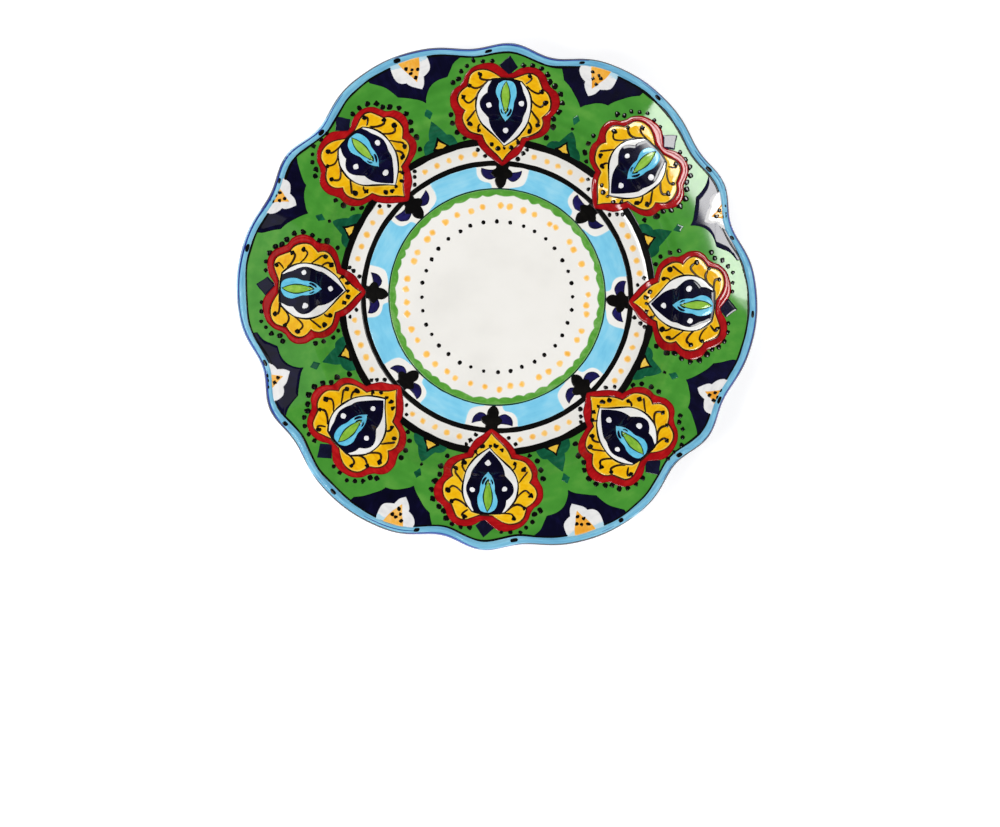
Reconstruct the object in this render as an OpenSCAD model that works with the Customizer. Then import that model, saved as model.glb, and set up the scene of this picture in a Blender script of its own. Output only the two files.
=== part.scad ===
/* [Plate] */
// Width across the widest lobes
plate_d = 290; // [230:1:360]
// Height from the table to the top of the lip
plate_h = 35; // [28:0.5:46]
// Thickness of the fired clay
clay_t = 5; // [3.5:0.1:7]
// Width of the flat well
well_d = 154; // [120:1:186]
// Depth of the well below the start of the flange
well_depth = 13.4; // [10:0.1:17]
// Radius of the bowl-shaped wall round the well
wall_bend = 30; // [26:0.5:40]
// Softness of the shoulder between wall and flange
shoulder_soft = 3; // [0.5:0.1:5]

/* [Foot] */
// Outer width of the foot ring
foot_d = 160; // [120:1:196]
// Width of the foot's resting face
foot_w = 8; // [5:0.1:12]
// Height of the foot ring
foot_h = 3; // [1.5:0.1:4]
// Bevel on the foot's edges
foot_bevel = 0.6; // [0.2:0.1:1.2]

/* [Rim] */
// Number of large lobes round the rim
lobes = 6; // [4:1:8]
// Swell of each wave along the rim, from the slowest to the fastest
wave_swell = [3.27, 1.44, 1.28, 0.45];
// Turn of each wave along the rim, in degrees
wave_turn = [35.5, 25.7, -115.8, 99.3];
// Width of the rolled lip
lip_w = 4; // [3:0.1:6]
// Height of the rolled lip
lip_h = 6; // [5.4:0.1:8]

/* [Glaze and enamel] */
// Thickness of the glazes
glaze_t = 0.4; // [0.2:0.05:0.7]
// Thickness of the enamel colours
enamel_t = 0.3; // [0.15:0.05:0.5]
// Thickness of the lines and dots painted over the colours
detail_t = 0.25; // [0.1:0.05:0.4]
// Gap between the lip's glaze and the layers next to it
lip_gap = 0.05; // [0.02:0.01:0.2]

/* [Rings] */
// Outer radius of the outer black ring
black_ring_r = 88.7; // [84:0.1:94]
// Width of the outer black ring
black_ring_w = 4; // [2.5:0.1:5.5]
// Width of the white band between the black rings
dot_band_w = 8.7; // [6:0.1:10]
// Width of the inner black ring
inner_ring_w = 3; // [1.5:0.1:4]
// Width of the light blue ring
blue_ring_w = 12.4; // [8:0.1:15]
// Width of the fine black line inside the blue ring
fine_line_w = 0.7; // [0.4:0.1:1.2]
// Width of the scalloped green ring
scallop_w = 3.8; // [2.5:0.1:6]
// Number of scallops on the green ring
scallops = 60; // [24:1:80]
// Radius of the inner circle of amber dots
amber_circle_r = 50.5; // [44:0.1:54]
// Number of amber dots on the inner circle
amber_dots = 42; // [16:1:48]
// Radius of the circle of black dots
black_circle_r = 42; // [34:0.1:44]
// Number of black dots on that circle
black_dots = 36; // [16:1:44]
// Radius of an amber dot
amber_dot_r = 1.3; // [0.6:0.1:1.8]
// Number of amber dots between two palmettes
band_dots = 5; // [1:1:7]
// Turn between two of those dots, in degrees
band_dot_turn = 5.2; // [3:0.1:8]
// Depth that stays green at the root of each scallop, as a share of the green ring
scallop_root = 0.65; // [0.3:0.05:0.9]
// Radius of a small black dot
black_dot_r = 0.9; // [0.4:0.1:1.4]

/* [Palmettes] */
// Number of palmettes
palmettes = 8; // [5:1:8]
// Turn of the first palmette, in degrees
first_turn = -2.9; // [-22:0.1:22]
// Height of the flange stencil, from the palmette's point to the lobes
stencil_h = 72; // [66:0.5:90]
// Radius of the circle on which the stencils' points stand when they are not stretched
stencil_r = 73; // [60:0.5:90]
// Height of the fleur-de-lis stencil
fleur_h = 12.4; // [11:0.1:16]
// Width of the thin lines round petals and drops
line_w = 0.8; // [0.4:0.1:1.2]
// Radius of the dots along a palmette's edge
edge_dot_r = 1.15; // [0.6:0.05:1.5]
// Turn of a stencil's arc that one straight piece may take, in degrees
arc_piece_turn = 32; // [10:1:45]
// Flat top of a domed dot, as a share of its radius
dome_top = 0.6; // [0.3:0.05:0.9]
// Straight pieces along each scroll
scroll_steps = 3; // [3:1:10]

/* [Hidden] */
$fn = 180;

// ---- Sizes that follow from the ones above
well_r = well_d / 2;
foot_r = foot_d / 2;
plate_r = plate_d / 2;
floor_z = foot_h + clay_t;
wall_z = floor_z + well_depth;
wall_centre_z = floor_z + wall_bend;
// The wall's arc leaves the floor level and reaches the shoulder at this angle
wall_angle = acos(1 - well_depth / wall_bend);
wall_r = well_r + wall_bend * sin(wall_angle);
// The middle of the lip's section on the widest lobe
lip_mid_r = plate_r - glaze_t - lip_w / 2;
lip_mid_z = plate_h - glaze_t - detail_t - lip_h / 2;
// The flange is a straight cone from the shoulder to the lip
flange_angle = atan((lip_mid_z + clay_t / 2 - wall_z) / (lip_mid_r - wall_r));
flange_drop = clay_t / cos(flange_angle);
// Radii past every edge, for shapes that are trimmed to the rim
far_r = plate_r + lip_w;
tall = plate_h * 2;

ring_r = black_ring_r;
ring_in = ring_r - black_ring_w;
inner_ring_r = ring_in - dot_band_w;
tip_r = inner_ring_r - inner_ring_w;
blue_in = tip_r - blue_ring_w;
line_in = blue_in - fine_line_w;
step_turn = 360 / palmettes;
stencil_rise = (plate_r - tip_r) / stencil_h;
stencil_spread = tip_r / stencil_r;
fleur_scale = (tip_r - blue_in) / fleur_h;

// ---- Curves
// Smooth lower envelope of two heights
function soft_min(a, b, k) = min(a, b) - pow(max(k - abs(a - b), 0), 2) / (4 * k);

function flange_z(r) = wall_z + (r - wall_r) * tan(flange_angle);
function arc_z(r, bend) = wall_centre_z - sqrt(max(bend * bend - pow(r - well_r, 2), 0));

// Height of the clay's face above the table
function face_z(r) =
    r <= well_r ? floor_z
    : r >= well_r + wall_bend ? flange_z(r)
    : soft_min(arc_z(r, wall_bend), flange_z(r), shoulder_soft);

// Height of the clay's underside, one thickness away from the face
function back_z(r) =
    r <= well_r ? foot_h
    : r >= well_r + wall_bend + clay_t ? flange_z(r) - flange_drop
    : min(arc_z(r, wall_bend + clay_t), flange_z(r) - flange_drop);

// Straight pieces in the wall's profile, and the turn at which the underside leaves its arc
wall_steps = 5;
back_meet = wall_angle - clay_t * tan((wall_angle - flange_angle) / 2)
    / (wall_bend + clay_t) * 180 / PI;
// Radii at which the profiles have a corner
face_stops = concat(
    [0],
    [for (i = [0:wall_steps - 1]) well_r + wall_bend * sin(wall_angle * i / wall_steps)],
    [wall_r + shoulder_soft / 4, wall_r + shoulder_soft * 2, far_r]
);
back_stops = concat(
    [0],
    [for (i = [0:wall_steps]) well_r + (wall_bend + clay_t) * sin(back_meet * i / wall_steps)],
    [far_r]
);
function stops_between(stops, lo, hi) = concat([lo], [for (r = stops) if (r > lo && r < hi) r], [hi]);
function reversed(list) = [for (i = [len(list) - 1:-1:0]) list[i]];

// The rim's waves, and its radius with an inset
function wave(a) = wave_swell[0] * cos(lobes * a + wave_turn[0])
    + wave_swell[1] * cos(2 * lobes * a + wave_turn[1])
    + wave_swell[2] * cos(3 * lobes * a + wave_turn[2])
    + wave_swell[3] * cos(4 * lobes * a + wave_turn[3]);
// Straight pieces round the rim
rim_steps = 96;
wave_peak = max([for (a = [0:0.5:360 / lobes]) wave(a)]);
wave_low = min([for (a = [0:0.5:360 / lobes]) wave(a)]);
function rim_r(a, inset) = plate_r - wave_peak + wave(a) - inset;
function polar(r, a) = [r * cos(a), r * sin(a)];

// Points of an arc from p to q that stands off its chord by bulge times the chord
function arc_points(p, q, bulge) =
    abs(bulge) < 0.001 ? [p] :
    let (
        chord = q - p,
        side = [chord[1], -chord[0]],
        turn = 4 * atan(2 * bulge),
        centre = (p + q) / 2 - side * (0.5 / tan(turn / 2)),
        arm = p - centre,
        pieces = ceil(abs(turn) / arc_piece_turn)
    )
    [for (i = [0:pieces - 1]) let (a = turn * i / pieces)
        centre + [arm[0] * cos(a) - arm[1] * sin(a), arm[0] * sin(a) + arm[1] * cos(a)]];

// A closed outline from corners [across, along, bulge of the arc to the next corner]
function outline(corners) = [
    for (i = [0:len(corners) - 1])
        let (p = corners[i], q = corners[(i + 1) % len(corners)])
        each arc_points([p[0], p[1]], [q[0], q[1]], p[2])
];
// An outline drawn in towards a centre, for an even line along it
function inset_outline(corners, centre, inset) = [
    for (p = outline(corners)) p + (centre - p) * (inset / norm(p - centre))
];

// A brush stroke that bends from a through b's pull to c
function scroll_outline(a, b, c) =
    let (
        mid = [for (i = [0:scroll_steps]) let (t = i / scroll_steps)
            (1 - t) * (1 - t) * a + 2 * t * (1 - t) * b + t * t * c],
        side = [for (i = [0:scroll_steps]) let (t = i / scroll_steps)
            let (d = (1 - t) * (b - a) + t * (c - b)) [d[1], -d[0]] * (line_w / 2 / norm(d))]
    )
    concat(
        [for (i = [0:scroll_steps]) mid[i] + side[i]],
        [for (i = [scroll_steps:-1:0]) mid[i] - side[i]]
    );

// ---- Stencils, measured from the palmette's point, across and towards the rim
palm_heart = [-1, 30];
drop_heart = [-1, 35];
red_edge = [
    [0, 51, 0.33], [-27, 43, 0.24], [-28, 26, 0.24], [-15.5, 13.5, 0.04], [-1, 0, 0.06],
    [12, 14, 0.22], [25, 26, 0.26], [23.5, 45, 0.31]
];
petal_edge = [
    [0, 46.5, 0.335], [-22.5, 42.8, 0.355], [-23, 29, 0.31], [-13, 16.5, 0.05],
    [-1, 2.8, 0.02], [9, 16.5, 0.27], [19.7, 27.5, 0.32], [19.5, 43, 0.34]
];
drop_edge = [
    [-10, 46.8, 0.21], [-15.5, 25.5, 0.03], [-0.5, 11, 0.03], [11.5, 23.5, 0.17],
    [7.5, 46.8, 0.04]
];
heart_edge = [
    [-9.5, 45.9, 0.05], [-11.3, 40, 0.34], [-10, 26.5, 0.1], [-0.5, 12.8, 0.07],
    [9.3, 26.5, 0.17], [9, 40.5, 0.05], [6.5, 45.9, 0]
];
flame_edge = [
    [-0.5, 45.9, 0.25], [-5.8, 38, 0.02], [-4.5, 32, 0.05], [-0.5, 24.5, 0.05],
    [3.8, 32, 0.02], [4.2, 38, 0.2]
];
lime_edge = [[-1, 44.8, 0.155], [-0.5, 29.3, 0.12]];
lime_heart = [-1, 38];
diamond_edge = [[0.2, 60.8, -0.03], [-5.2, 55.4, -0.03], [0.2, 51.6, -0.03], [5, 55, -0.03]];
heart_spots = [[-10, 33, 1.6], [7.9, 34.8, 1.6], [0, 19.5, 1.5]];
// Scrolls on the petals: start, bend, end and radius of the ball past the end
scrolls = [
    [[9.6, 46], [13, 49.3], [11.6, 50.2], 1.2], [[11.5, 43.5], [15, 39.8], [19, 41.5], 1.3],
    [[13.6, 36.5], [17.5, 32.5], [21, 35.2], 1.4], [[12.9, 29.5], [19.4, 27.2], [17.7, 23.8], 1.2],
    [[11.2, 22.8], [14.8, 22.3], [13.4, 19.4], 1.2],
    [[-10.6, 46.9], [-15, 46.6], [-15.8, 49.6], 1.2], [[-14, 43.2], [-17.5, 40.8], [-21.4, 43], 1.3],
    [[-17, 38], [-21, 31.8], [-24.6, 36.2], 1.4], [[-16.8, 29.5], [-22.6, 26.2], [-20.2, 22.4], 1.3],
    [[-14.3, 23.9], [-18.5, 22.3], [-15.2, 18.9], 1.2]
];
petal_spots = [for (p = [[7.2, 13.4], [3.7, 10.5], [-7.3, 11.7], [-3.8, 9.6]]) [p[0], p[1], black_dot_r]];
edge_spots = [for (p = [
    [8.2, 55.9], [13.2, 56.3], [18, 54.9], [22.2, 51.9], [24.4, 48.3], [27, 45], [30.1, 41],
    [31.1, 36], [29.9, 31], [27.1, 27], [27, 22.6], [23.6, 17.4],
    [-9.5, 57.9], [-14.8, 57.6], [-20.2, 56.6], [-24.1, 54], [-27.3, 50.4], [-28.9, 46.4],
    [-32, 43.3], [-31.2, 26], [-30.1, 21.5], [-27.6, 17.2]
]) [p[0], p[1], edge_dot_r]];
// Dots on the white band, beside the palmette's point
tip_spots = [for (p = [[13.4, 9.3], [10.4, 6.1], [-14.9, 8.3], [-11.6, 5.2]]) [p[0], p[1], black_dot_r]];

// The ball sits just past the end of its scroll
scroll_balls = [for (s = scrolls)
    let (d = s[2] - s[1], k = s[3] / norm([d[0] * stencil_spread, d[1] * stencil_rise]))
    [s[2][0] + d[0] * k, s[2][1] + d[1] * k, s[3]]];

// Stencils of the border halfway between two palmettes
wedge_edge = [
    [-2, 41.3, -0.12], [12.5, 49.8, -0.1], [26.5, 61, 0], [30, 80, 0], [-30, 80, 0],
    [-27.5, 61, -0.1], [-16.5, 50.3, -0.1]
];
blossom_edge = [
    [-12.8, 61.8, 0.14], [-7.6, 55.2, 0.06], [-1.4, 49, 0.03], [2.6, 55, 0.12], [8.4, 61, 0],
    [8.2, 67, 0], [-12.4, 67, 0]
];
blossom_heart_edge = [[-5.8, 67, 0], [-4.2, 60, 0.03], [-1.5, 54, 0.03], [0.6, 60, 0], [2, 67, 0]];
blossom_spots = [for (p = [[-4.2, 59.3], [-1.3, 57.3], [0.3, 61.2]]) [p[0], p[1], black_dot_r]];
green_diamond_edge = [[-2.4, 37.7, 0.02], [-4.6, 34.9, 0.02], [-2.1, 31.4, 0.02], [0.1, 34.9, 0.02]];
leaf_edge = [
    [-2, 28.5, 0.05], [-6, 20.7, 0.2], [-11.3, 13, 0], [8.7, 13, 0.2], [4.2, 21, 0.05]
];
shadow_edge = [[-1.7, 21.9, -0.03], [-7, 13, 0], [3.6, 13, -0.03]];
triangle_edge = [[-1.7, 19.8, 0], [-5.6, 14, 0], [2.2, 14, 0]];
cloud_spots = [[-2, 29.9, black_dot_r]];

// Fleur-de-lis, measured from the palmette's point towards the centre
fleur_edge = [
    [-4.4, 0.6, 0], [-5.4, -1.9, 0], [-12.6, -2.2, 0.42], [-4.8, -6.4, 0.2], [-1.4, -12.3, 0.2],
    [2.3, -6.6, 0.42], [10.3, -2.1, 0], [2.8, -2.9, 0], [2.4, 0.6, 0]
];
halo_edge = [
    [-15, 1, 0.05], [-14.4, -5, 0.28], [-6.5, -10, 0], [-5.2, -13.4, 0], [2.6, -13.4, 0.02],
    [10.4, -10.5, 0.22], [14.2, 1, 0]
];

// ---- Placing
module round_plate(turn) {
    for (i = [0:palmettes - 1]) rotate([0, 0, first_turn + turn - i * step_turn]) children();
}
module on_palmettes() {
    round_plate(0) translate([0, tip_r, 0]) scale([stencil_spread, stencil_rise]) children();
}
module between_palmettes() {
    round_plate(-step_turn / 2) translate([0, tip_r, 0]) scale([stencil_spread, stencil_rise]) children();
}
module on_fleurs() {
    round_plate(0) translate([0, tip_r, 0]) scale(fleur_scale) children();
}
module shape(corners) {
    polygon(outline(corners));
}
// A line just inside an outline
module line_round(corners, centre, width) {
    difference() {
        shape(corners);
        polygon(inset_outline(corners, centre, width));
    }
}
// A domed drop of colour that lies on the face at a radius and an angle
module drop(r, a, size, lift, thick) {
    slope = atan(face_z(r + 0.5) - face_z(r - 0.5));
    rotate([0, 0, a]) translate([r, 0, face_z(r) + lift]) rotate([0, -slope, 0])
        rotate_extrude($fn = 24) polygon([[0, 0], [size, 0], [size * dome_top, thick], [0, thick]]);
}
// The same drops in each palmette, or with turn in each gap; places are [x, y, radius]
module drops(places, turn, lift, thick) {
    for (i = [0:palmettes - 1]) for (p = places) {
        x = p[0] * stencil_spread;
        y = tip_r + p[1] * stencil_rise;
        drop(norm([x, y]), atan2(y, x) + first_turn + turn - i * step_turn, p[2], lift, thick);
    }
}
module rim_area(inset) {
    polygon([for (i = [0:rim_steps - 1]) let (a = 360 * i / rim_steps) polar(rim_r(a, inset), a)]);
}

// A layer of one thickness that follows the face, cut to the flat shape given
module layer(low, high, r_in, r_out) {
    radii = stops_between(face_stops, r_in, r_out);
    intersection() {
        rotate_extrude()
            polygon(concat(
                [for (r = radii) [r, face_z(r) + low]],
                [for (r = reversed(radii)) [r, face_z(r) + high]]
            ));
        linear_extrude(tall) children();
    }
}
module enamel(r_in, r_out) {
    layer(glaze_t, glaze_t + enamel_t, r_in, r_out) children();
}
module detail(r_in, r_out) {
    layer(glaze_t + enamel_t, glaze_t + enamel_t + detail_t, r_in, r_out) children();
}
// How far in from the rim the lip ends, the face's layers end, and the border colours end
lip_inset = glaze_t + lip_w;
face_inset = lip_inset + glaze_t + lip_gap;
border_inset = face_inset + line_w;
line_low = plate_r - wave_peak + wave_low - border_inset - line_w;

// A closed band swept along the rim through sections of points
module rim_sweep(sections) {
    n = len(sections[0]);
    m = len(sections);
    polyhedron(
        points = [for (s = sections) each s],
        faces = [
            for (i = [0:m - 1]) for (j = [0:n - 1])
                let (
                    a = i * n + j, b = i * n + (j + 1) % n,
                    c = ((i + 1) % m) * n + (j + 1) % n, d = ((i + 1) % m) * n + j
                )
                each [[a, b, c], [a, c, d]]
        ]
    );
}
function lip_centre(a) = let (r = rim_r(a, glaze_t + lip_w / 2)) [r, face_z(r) - clay_t / 2];
function lip_point(a, turn, grow) = let (c = lip_centre(a))
    let (r = c[0] + (lip_w / 2 + grow) * cos(turn), z = c[1] + (lip_h / 2 + grow) * sin(turn))
    [r * cos(a), r * sin(a), z];

// A place on the lip's surface between its section's corners; s counts sections, u corners
wrap_from = -128;
wrap_turn = 38;
wrap_steps = 7;
buried_steps = 3;
wrap_to = wrap_from + wrap_turn * wrap_steps;
// Turns of the clay lip's corners: those under the glaze, then those inside the flange
lip_turns = concat(
    [for (u = [0:wrap_steps]) wrap_from + wrap_turn * u],
    [for (j = [1:buried_steps - 1]) wrap_to + (360 + wrap_from - wrap_to) * j / buried_steps]
);
function wrap_point(s, u, grow) = lip_point(s * 360 / rim_steps, wrap_from + u * wrap_turn, grow);
function lerp(p, q, f) = p + (q - p) * f;
function lip_on(s, u, grow) =
    let (s0 = floor(s), u0 = floor(u))
    lerp(
        lerp(wrap_point(s0, u0, grow), wrap_point(s0, u0 + 1, grow), u - u0),
        lerp(wrap_point(s0 + 1, u0, grow), wrap_point(s0 + 1, u0 + 1, grow), u - u0),
        s - s0
    );

// A thin brushed patch on the lip, through the sections and corners given
module lip_patch(along, across) {
    last = len(along) - 1;
    wide = len(across);
    n = 2 * wide;
    sections = [for (s = along) concat(
        [for (u = across) lip_on(s, u, glaze_t + detail_t)],
        [for (u = reversed(across)) lip_on(s, u, glaze_t)]
    )];
    polyhedron(
        points = [for (part = sections) each part],
        faces = concat(
            [for (i = [0:last - 1]) for (j = [0:n - 1])
                let (
                    a = i * n + j, b = i * n + (j + 1) % n,
                    c = (i + 1) * n + (j + 1) % n, d = (i + 1) * n + j
                )
                each [[a, b, c], [a, c, d]]],
            [for (j = [0:wide - 2]) each
                [[j, n - 1 - j, j + 1], [j + 1, n - 1 - j, n - 2 - j]]],
            [for (j = [0:wide - 2]) let (e = last * n) each
                [[e + j, e + j + 1, e + n - 1 - j], [e + j + 1, e + n - 2 - j, e + n - 1 - j]]]
        )
    );
}

// ---- Clay and glazes
module clay_body() color("tan") {
    radii_top = stops_between(face_stops, 0, far_r);
    radii_back = stops_between(back_stops, 0, far_r);
    foot_in = foot_r - foot_w;
    foot_top = min(face_z(foot_in), back_z(foot_r) + clay_t / 2);
    intersection() {
        rotate_extrude() polygon(concat(
            [for (r = radii_top) [r, face_z(r)]],
            [for (r = reversed(radii_back)) [r, back_z(r)]]
        ));
        linear_extrude(tall) rim_area(lip_inset - lip_w / 2);
    }
    rotate_extrude() polygon([
        [foot_in, foot_top], [foot_in, foot_bevel], [foot_in + foot_bevel, 0],
        [foot_r - foot_bevel, 0], [foot_r, foot_bevel], [foot_r, foot_top]
    ]);
    rim_sweep([for (i = [0:rim_steps - 1]) [for (turn = lip_turns) lip_point(360 * i / rim_steps, turn, 0)]]);
}

// Dark glaze from the foot ring out to the lip
module back_glaze() color("midnightblue") {
    radii = stops_between(back_stops, foot_r + lip_gap, far_r);
    intersection() {
        rotate_extrude() polygon(concat(
            [for (r = radii) [r, back_z(r)]],
            [for (r = reversed(radii)) [r, back_z(r) - glaze_t]]
        ));
        linear_extrude(tall) rim_area(face_inset);
    }
}

module face_glaze() color("whitesmoke") {
    layer(0, glaze_t, 0, far_r) rim_area(face_inset);
}

// Blue glaze round the lip, from the face to the back
module lip_glaze() color("lightskyblue") {
    rim_sweep([for (i = [0:rim_steps - 1]) concat(
        [for (u = [0:wrap_steps]) wrap_point(i, u, glaze_t)],
        [for (u = [wrap_steps:-1:0]) wrap_point(i, u, lip_gap)]
    )]);
}

// Brushed spots on the lip, counted in sections of the rim from the plate's right
lip_spot_places = [1, 4, 8, 13, 17, 23, 26, 33, 37, 41, 49, 56, 61, 65, 74, 79, 84, 89];
module lip_spots() color("black") {
    for (s = lip_spot_places) lip_patch([s + 0.1, s + 0.9], [5.1, 6, 6.9]);
}
module lip_streaks() color("royalblue") {
    count = len(lip_spot_places);
    for (i = [0:count - 1]) {
        from = lip_spot_places[i] + 1;
        to = lip_spot_places[(i + 1) % count] + (i == count - 1 ? rim_steps : 0);
        lip_patch(concat([from + 0.3], [for (s = [from + 1:to - 1]) s], [to - 0.3]), [4.1, 4.9]);
    }
}

module lip_line() color("black") {
    enamel(line_low, far_r) difference() {
        rim_area(face_inset);
        rim_area(border_inset);
    }
}

// ---- Border between the palmettes
module inside_rings() {
    circle(r = ring_r);
}
module palmette_area() {
    on_palmettes() shape(red_edge);
}
module navy_border() color("midnightblue") {
    enamel(ring_r, far_r) difference() {
        intersection() {
            between_palmettes() shape(wedge_edge);
            rim_area(border_inset);
        }
        between_palmettes() shape(blossom_edge);
    }
}
module green_clouds() color("forestgreen") {
    enamel(ring_r, far_r) difference() {
        rim_area(border_inset);
        inside_rings();
        palmette_area();
        on_palmettes() shape(diamond_edge);
        between_palmettes() {
            shape(wedge_edge);
            shape(green_diamond_edge);
            shape(leaf_edge);
        }
    }
}
module cloud_diamonds() color("darkgreen") {
    enamel(ring_r, far_r) between_palmettes() shape(green_diamond_edge);
}
module cloud_dots() color("black") {
    drops(cloud_spots, -step_turn / 2, glaze_t + enamel_t, detail_t);
}
module cloud_leaves() color("darkgreen") {
    enamel(ring_r, far_r) difference() {
        between_palmettes() shape(leaf_edge);
        inside_rings();
        between_palmettes() shape(shadow_edge);
    }
}
module leaf_shadows() color("black") {
    enamel(ring_r, far_r) difference() {
        between_palmettes() shape(shadow_edge);
        inside_rings();
        between_palmettes() shape(triangle_edge);
    }
}
module leaf_triangles() color("gold") {
    enamel(ring_r, far_r) difference() {
        between_palmettes() shape(triangle_edge);
        inside_rings();
    }
}
module white_blossoms() color("white") {
    enamel(ring_r, far_r) difference() {
        intersection() {
            between_palmettes() shape(blossom_edge);
            rim_area(border_inset);
        }
        between_palmettes() shape(blossom_heart_edge);
    }
}
module blossom_hearts() color("orange") {
    enamel(ring_r, far_r) intersection() {
        between_palmettes() shape(blossom_heart_edge);
        rim_area(border_inset);
    }
}
module blossom_dots() color("black") {
    drops(blossom_spots, -step_turn / 2, glaze_t + enamel_t, detail_t);
}

// ---- Palmettes
module red_borders() color("firebrick") {
    enamel(tip_r - line_w, far_r) on_palmettes() difference() {
        shape(red_edge);
        shape(petal_edge);
    }
}
module petal_outlines() color("black") {
    enamel(tip_r, far_r) on_palmettes() line_round(petal_edge, palm_heart, line_w);
}
module yellow_petals() color("gold") {
    enamel(tip_r, far_r) on_palmettes() difference() {
        polygon(inset_outline(petal_edge, palm_heart, line_w));
        shape(drop_edge);
    }
}
module petal_scrolls() color("black") {
    detail(tip_r, far_r) on_palmettes() for (s = scrolls) polygon(scroll_outline(s[0], s[1], s[2]));
}
module petal_dots() color("black") {
    drops(petal_spots, 0, glaze_t + enamel_t, detail_t);
    drops(scroll_balls, 0, glaze_t + enamel_t, detail_t);
}
module drop_outlines() color("black") {
    enamel(tip_r, far_r) on_palmettes() line_round(drop_edge, drop_heart, line_w);
}
module navy_hearts() color("navy") {
    enamel(tip_r, far_r) on_palmettes() difference() {
        polygon(inset_outline(heart_edge, drop_heart, line_w));
        shape(flame_edge);
    }
}
module heart_dots() color("white") {
    drops(heart_spots, 0, glaze_t + enamel_t, detail_t);
}
module blue_flames() color("skyblue") {
    enamel(tip_r, far_r) on_palmettes() difference() {
        shape(flame_edge);
        shape(lime_edge);
    }
}
module lime_leaves() color("yellowgreen") {
    enamel(tip_r, far_r) on_palmettes() shape(lime_edge);
}
module leaf_outlines() color("black") {
    detail(tip_r, far_r) on_palmettes() line_round(lime_edge, lime_heart, line_w / 2);
}
module top_diamonds() color("midnightblue") {
    enamel(ring_r, far_r) intersection() {
        on_palmettes() shape(diamond_edge);
        rim_area(border_inset);
    }
}
module edge_dots() color("black") {
    drops(edge_spots, 0, glaze_t + enamel_t, detail_t);
}
module tip_dots() color("black") {
    drops(tip_spots, 0, glaze_t, enamel_t);
}

// ---- Rings round the well
module outer_black_ring() color("black") {
    enamel(ring_in, ring_r) difference() {
        circle(r = far_r);
        palmette_area();
    }
}
module outer_amber_dots() color("orange") {
    for (i = [0:palmettes - 1]) for (j = [0:band_dots - 1])
        drop(
            (ring_in + inner_ring_r) / 2,
            90 + first_turn - (i + 0.5) * step_turn + (j - (band_dots - 1) / 2) * band_dot_turn,
            amber_dot_r, glaze_t, enamel_t
        );
}
module inner_black_ring() color("black") {
    enamel(tip_r, inner_ring_r) difference() {
        circle(r = far_r);
        palmette_area();
        on_fleurs() shape(fleur_edge);
    }
}
module blue_ring() color("skyblue") {
    enamel(blue_in, tip_r) difference() {
        circle(r = far_r);
        on_fleurs() shape(halo_edge);
    }
}
module fleurs() color("midnightblue") {
    enamel(blue_in, inner_ring_r) difference() {
        on_fleurs() shape(fleur_edge);
        palmette_area();
    }
}
module fine_line() color("black") {
    enamel(line_in, blue_in) circle(r = far_r);
}
module scallop_ring() color("forestgreen") {
    enamel(line_in - scallop_w, line_in) difference() {
        circle(r = far_r);
        polygon([for (i = [0:4 * scallops - 1]) let (a = 90 * i / scallops)
            polar(line_in - scallop_w * (scallop_root + (1 - scallop_root) * abs(sin(a * scallops / 2))), a)]);
    }
}
module inner_amber_dots() color("orange") {
    for (i = [0:amber_dots - 1])
        drop(amber_circle_r, i * 360 / amber_dots, amber_dot_r, glaze_t, enamel_t);
}
module inner_black_dots() color("black") {
    for (i = [0:black_dots - 1])
        drop(black_circle_r, i * 360 / black_dots, black_dot_r, glaze_t, enamel_t);
}

clay_body();
back_glaze();
face_glaze();
lip_glaze();
lip_line();
lip_streaks();
lip_spots();
navy_border();
green_clouds();
cloud_diamonds();
cloud_dots();
cloud_leaves();
leaf_shadows();
leaf_triangles();
white_blossoms();
blossom_hearts();
blossom_dots();
red_borders();
petal_outlines();
yellow_petals();
petal_scrolls();
petal_dots();
drop_outlines();
navy_hearts();
heart_dots();
blue_flames();
lime_leaves();
leaf_outlines();
top_diamonds();
edge_dots();
tip_dots();
outer_black_ring();
outer_amber_dots();
inner_black_ring();
blue_ring();
fleurs();
fine_line();
scallop_ring();
inner_amber_dots();
inner_black_dots();
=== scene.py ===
import math
import bpy
import numpy as np
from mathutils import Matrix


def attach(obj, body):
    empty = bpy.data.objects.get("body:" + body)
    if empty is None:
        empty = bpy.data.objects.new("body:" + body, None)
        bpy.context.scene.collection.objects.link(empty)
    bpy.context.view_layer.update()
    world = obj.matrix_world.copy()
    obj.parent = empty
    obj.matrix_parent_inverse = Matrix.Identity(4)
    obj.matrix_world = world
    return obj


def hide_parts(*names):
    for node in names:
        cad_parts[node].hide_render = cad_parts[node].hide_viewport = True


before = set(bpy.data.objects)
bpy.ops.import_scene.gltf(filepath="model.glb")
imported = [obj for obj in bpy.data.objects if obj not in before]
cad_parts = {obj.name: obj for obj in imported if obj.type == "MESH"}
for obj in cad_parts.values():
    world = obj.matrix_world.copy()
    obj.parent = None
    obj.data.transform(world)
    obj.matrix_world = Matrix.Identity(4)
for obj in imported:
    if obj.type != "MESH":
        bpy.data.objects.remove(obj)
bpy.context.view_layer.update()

# ---------------------------------------------------------------- clay body
# The plate itself: pale clay thrown on a wheel, turned to a foot ring underneath, with its rim
# pressed into six soft lobes. All but the foot and the recess inside it is glazed over. Sizes
# are in millimetres, and turns round the plate in degrees clockwise from its top.
MM = 0.001
FLOOR_Z, WELL_R = 8.0, 77.0
WALL_BEND, BACK_BEND, ARC_Z = 30.0, 35.0, 38.0
WALL_Z, WALL_R, SLOPE = 21.4, 102.0, math.tan(math.radians(17.05))
FLANGE_R, BACK_FLANGE_R, FLANGE_DROP, BLEND = 107, 112, 5.23, 3
FOOT_IN, FOOT_OUT, FOOT_H, FOOT_BEND = 72.0, 80.0, 3.0, 1
RIM_R, SECTION_RIM_R, LOBE_START, LOBE_FADE = 144.65, 143.5, 105, 35


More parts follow.
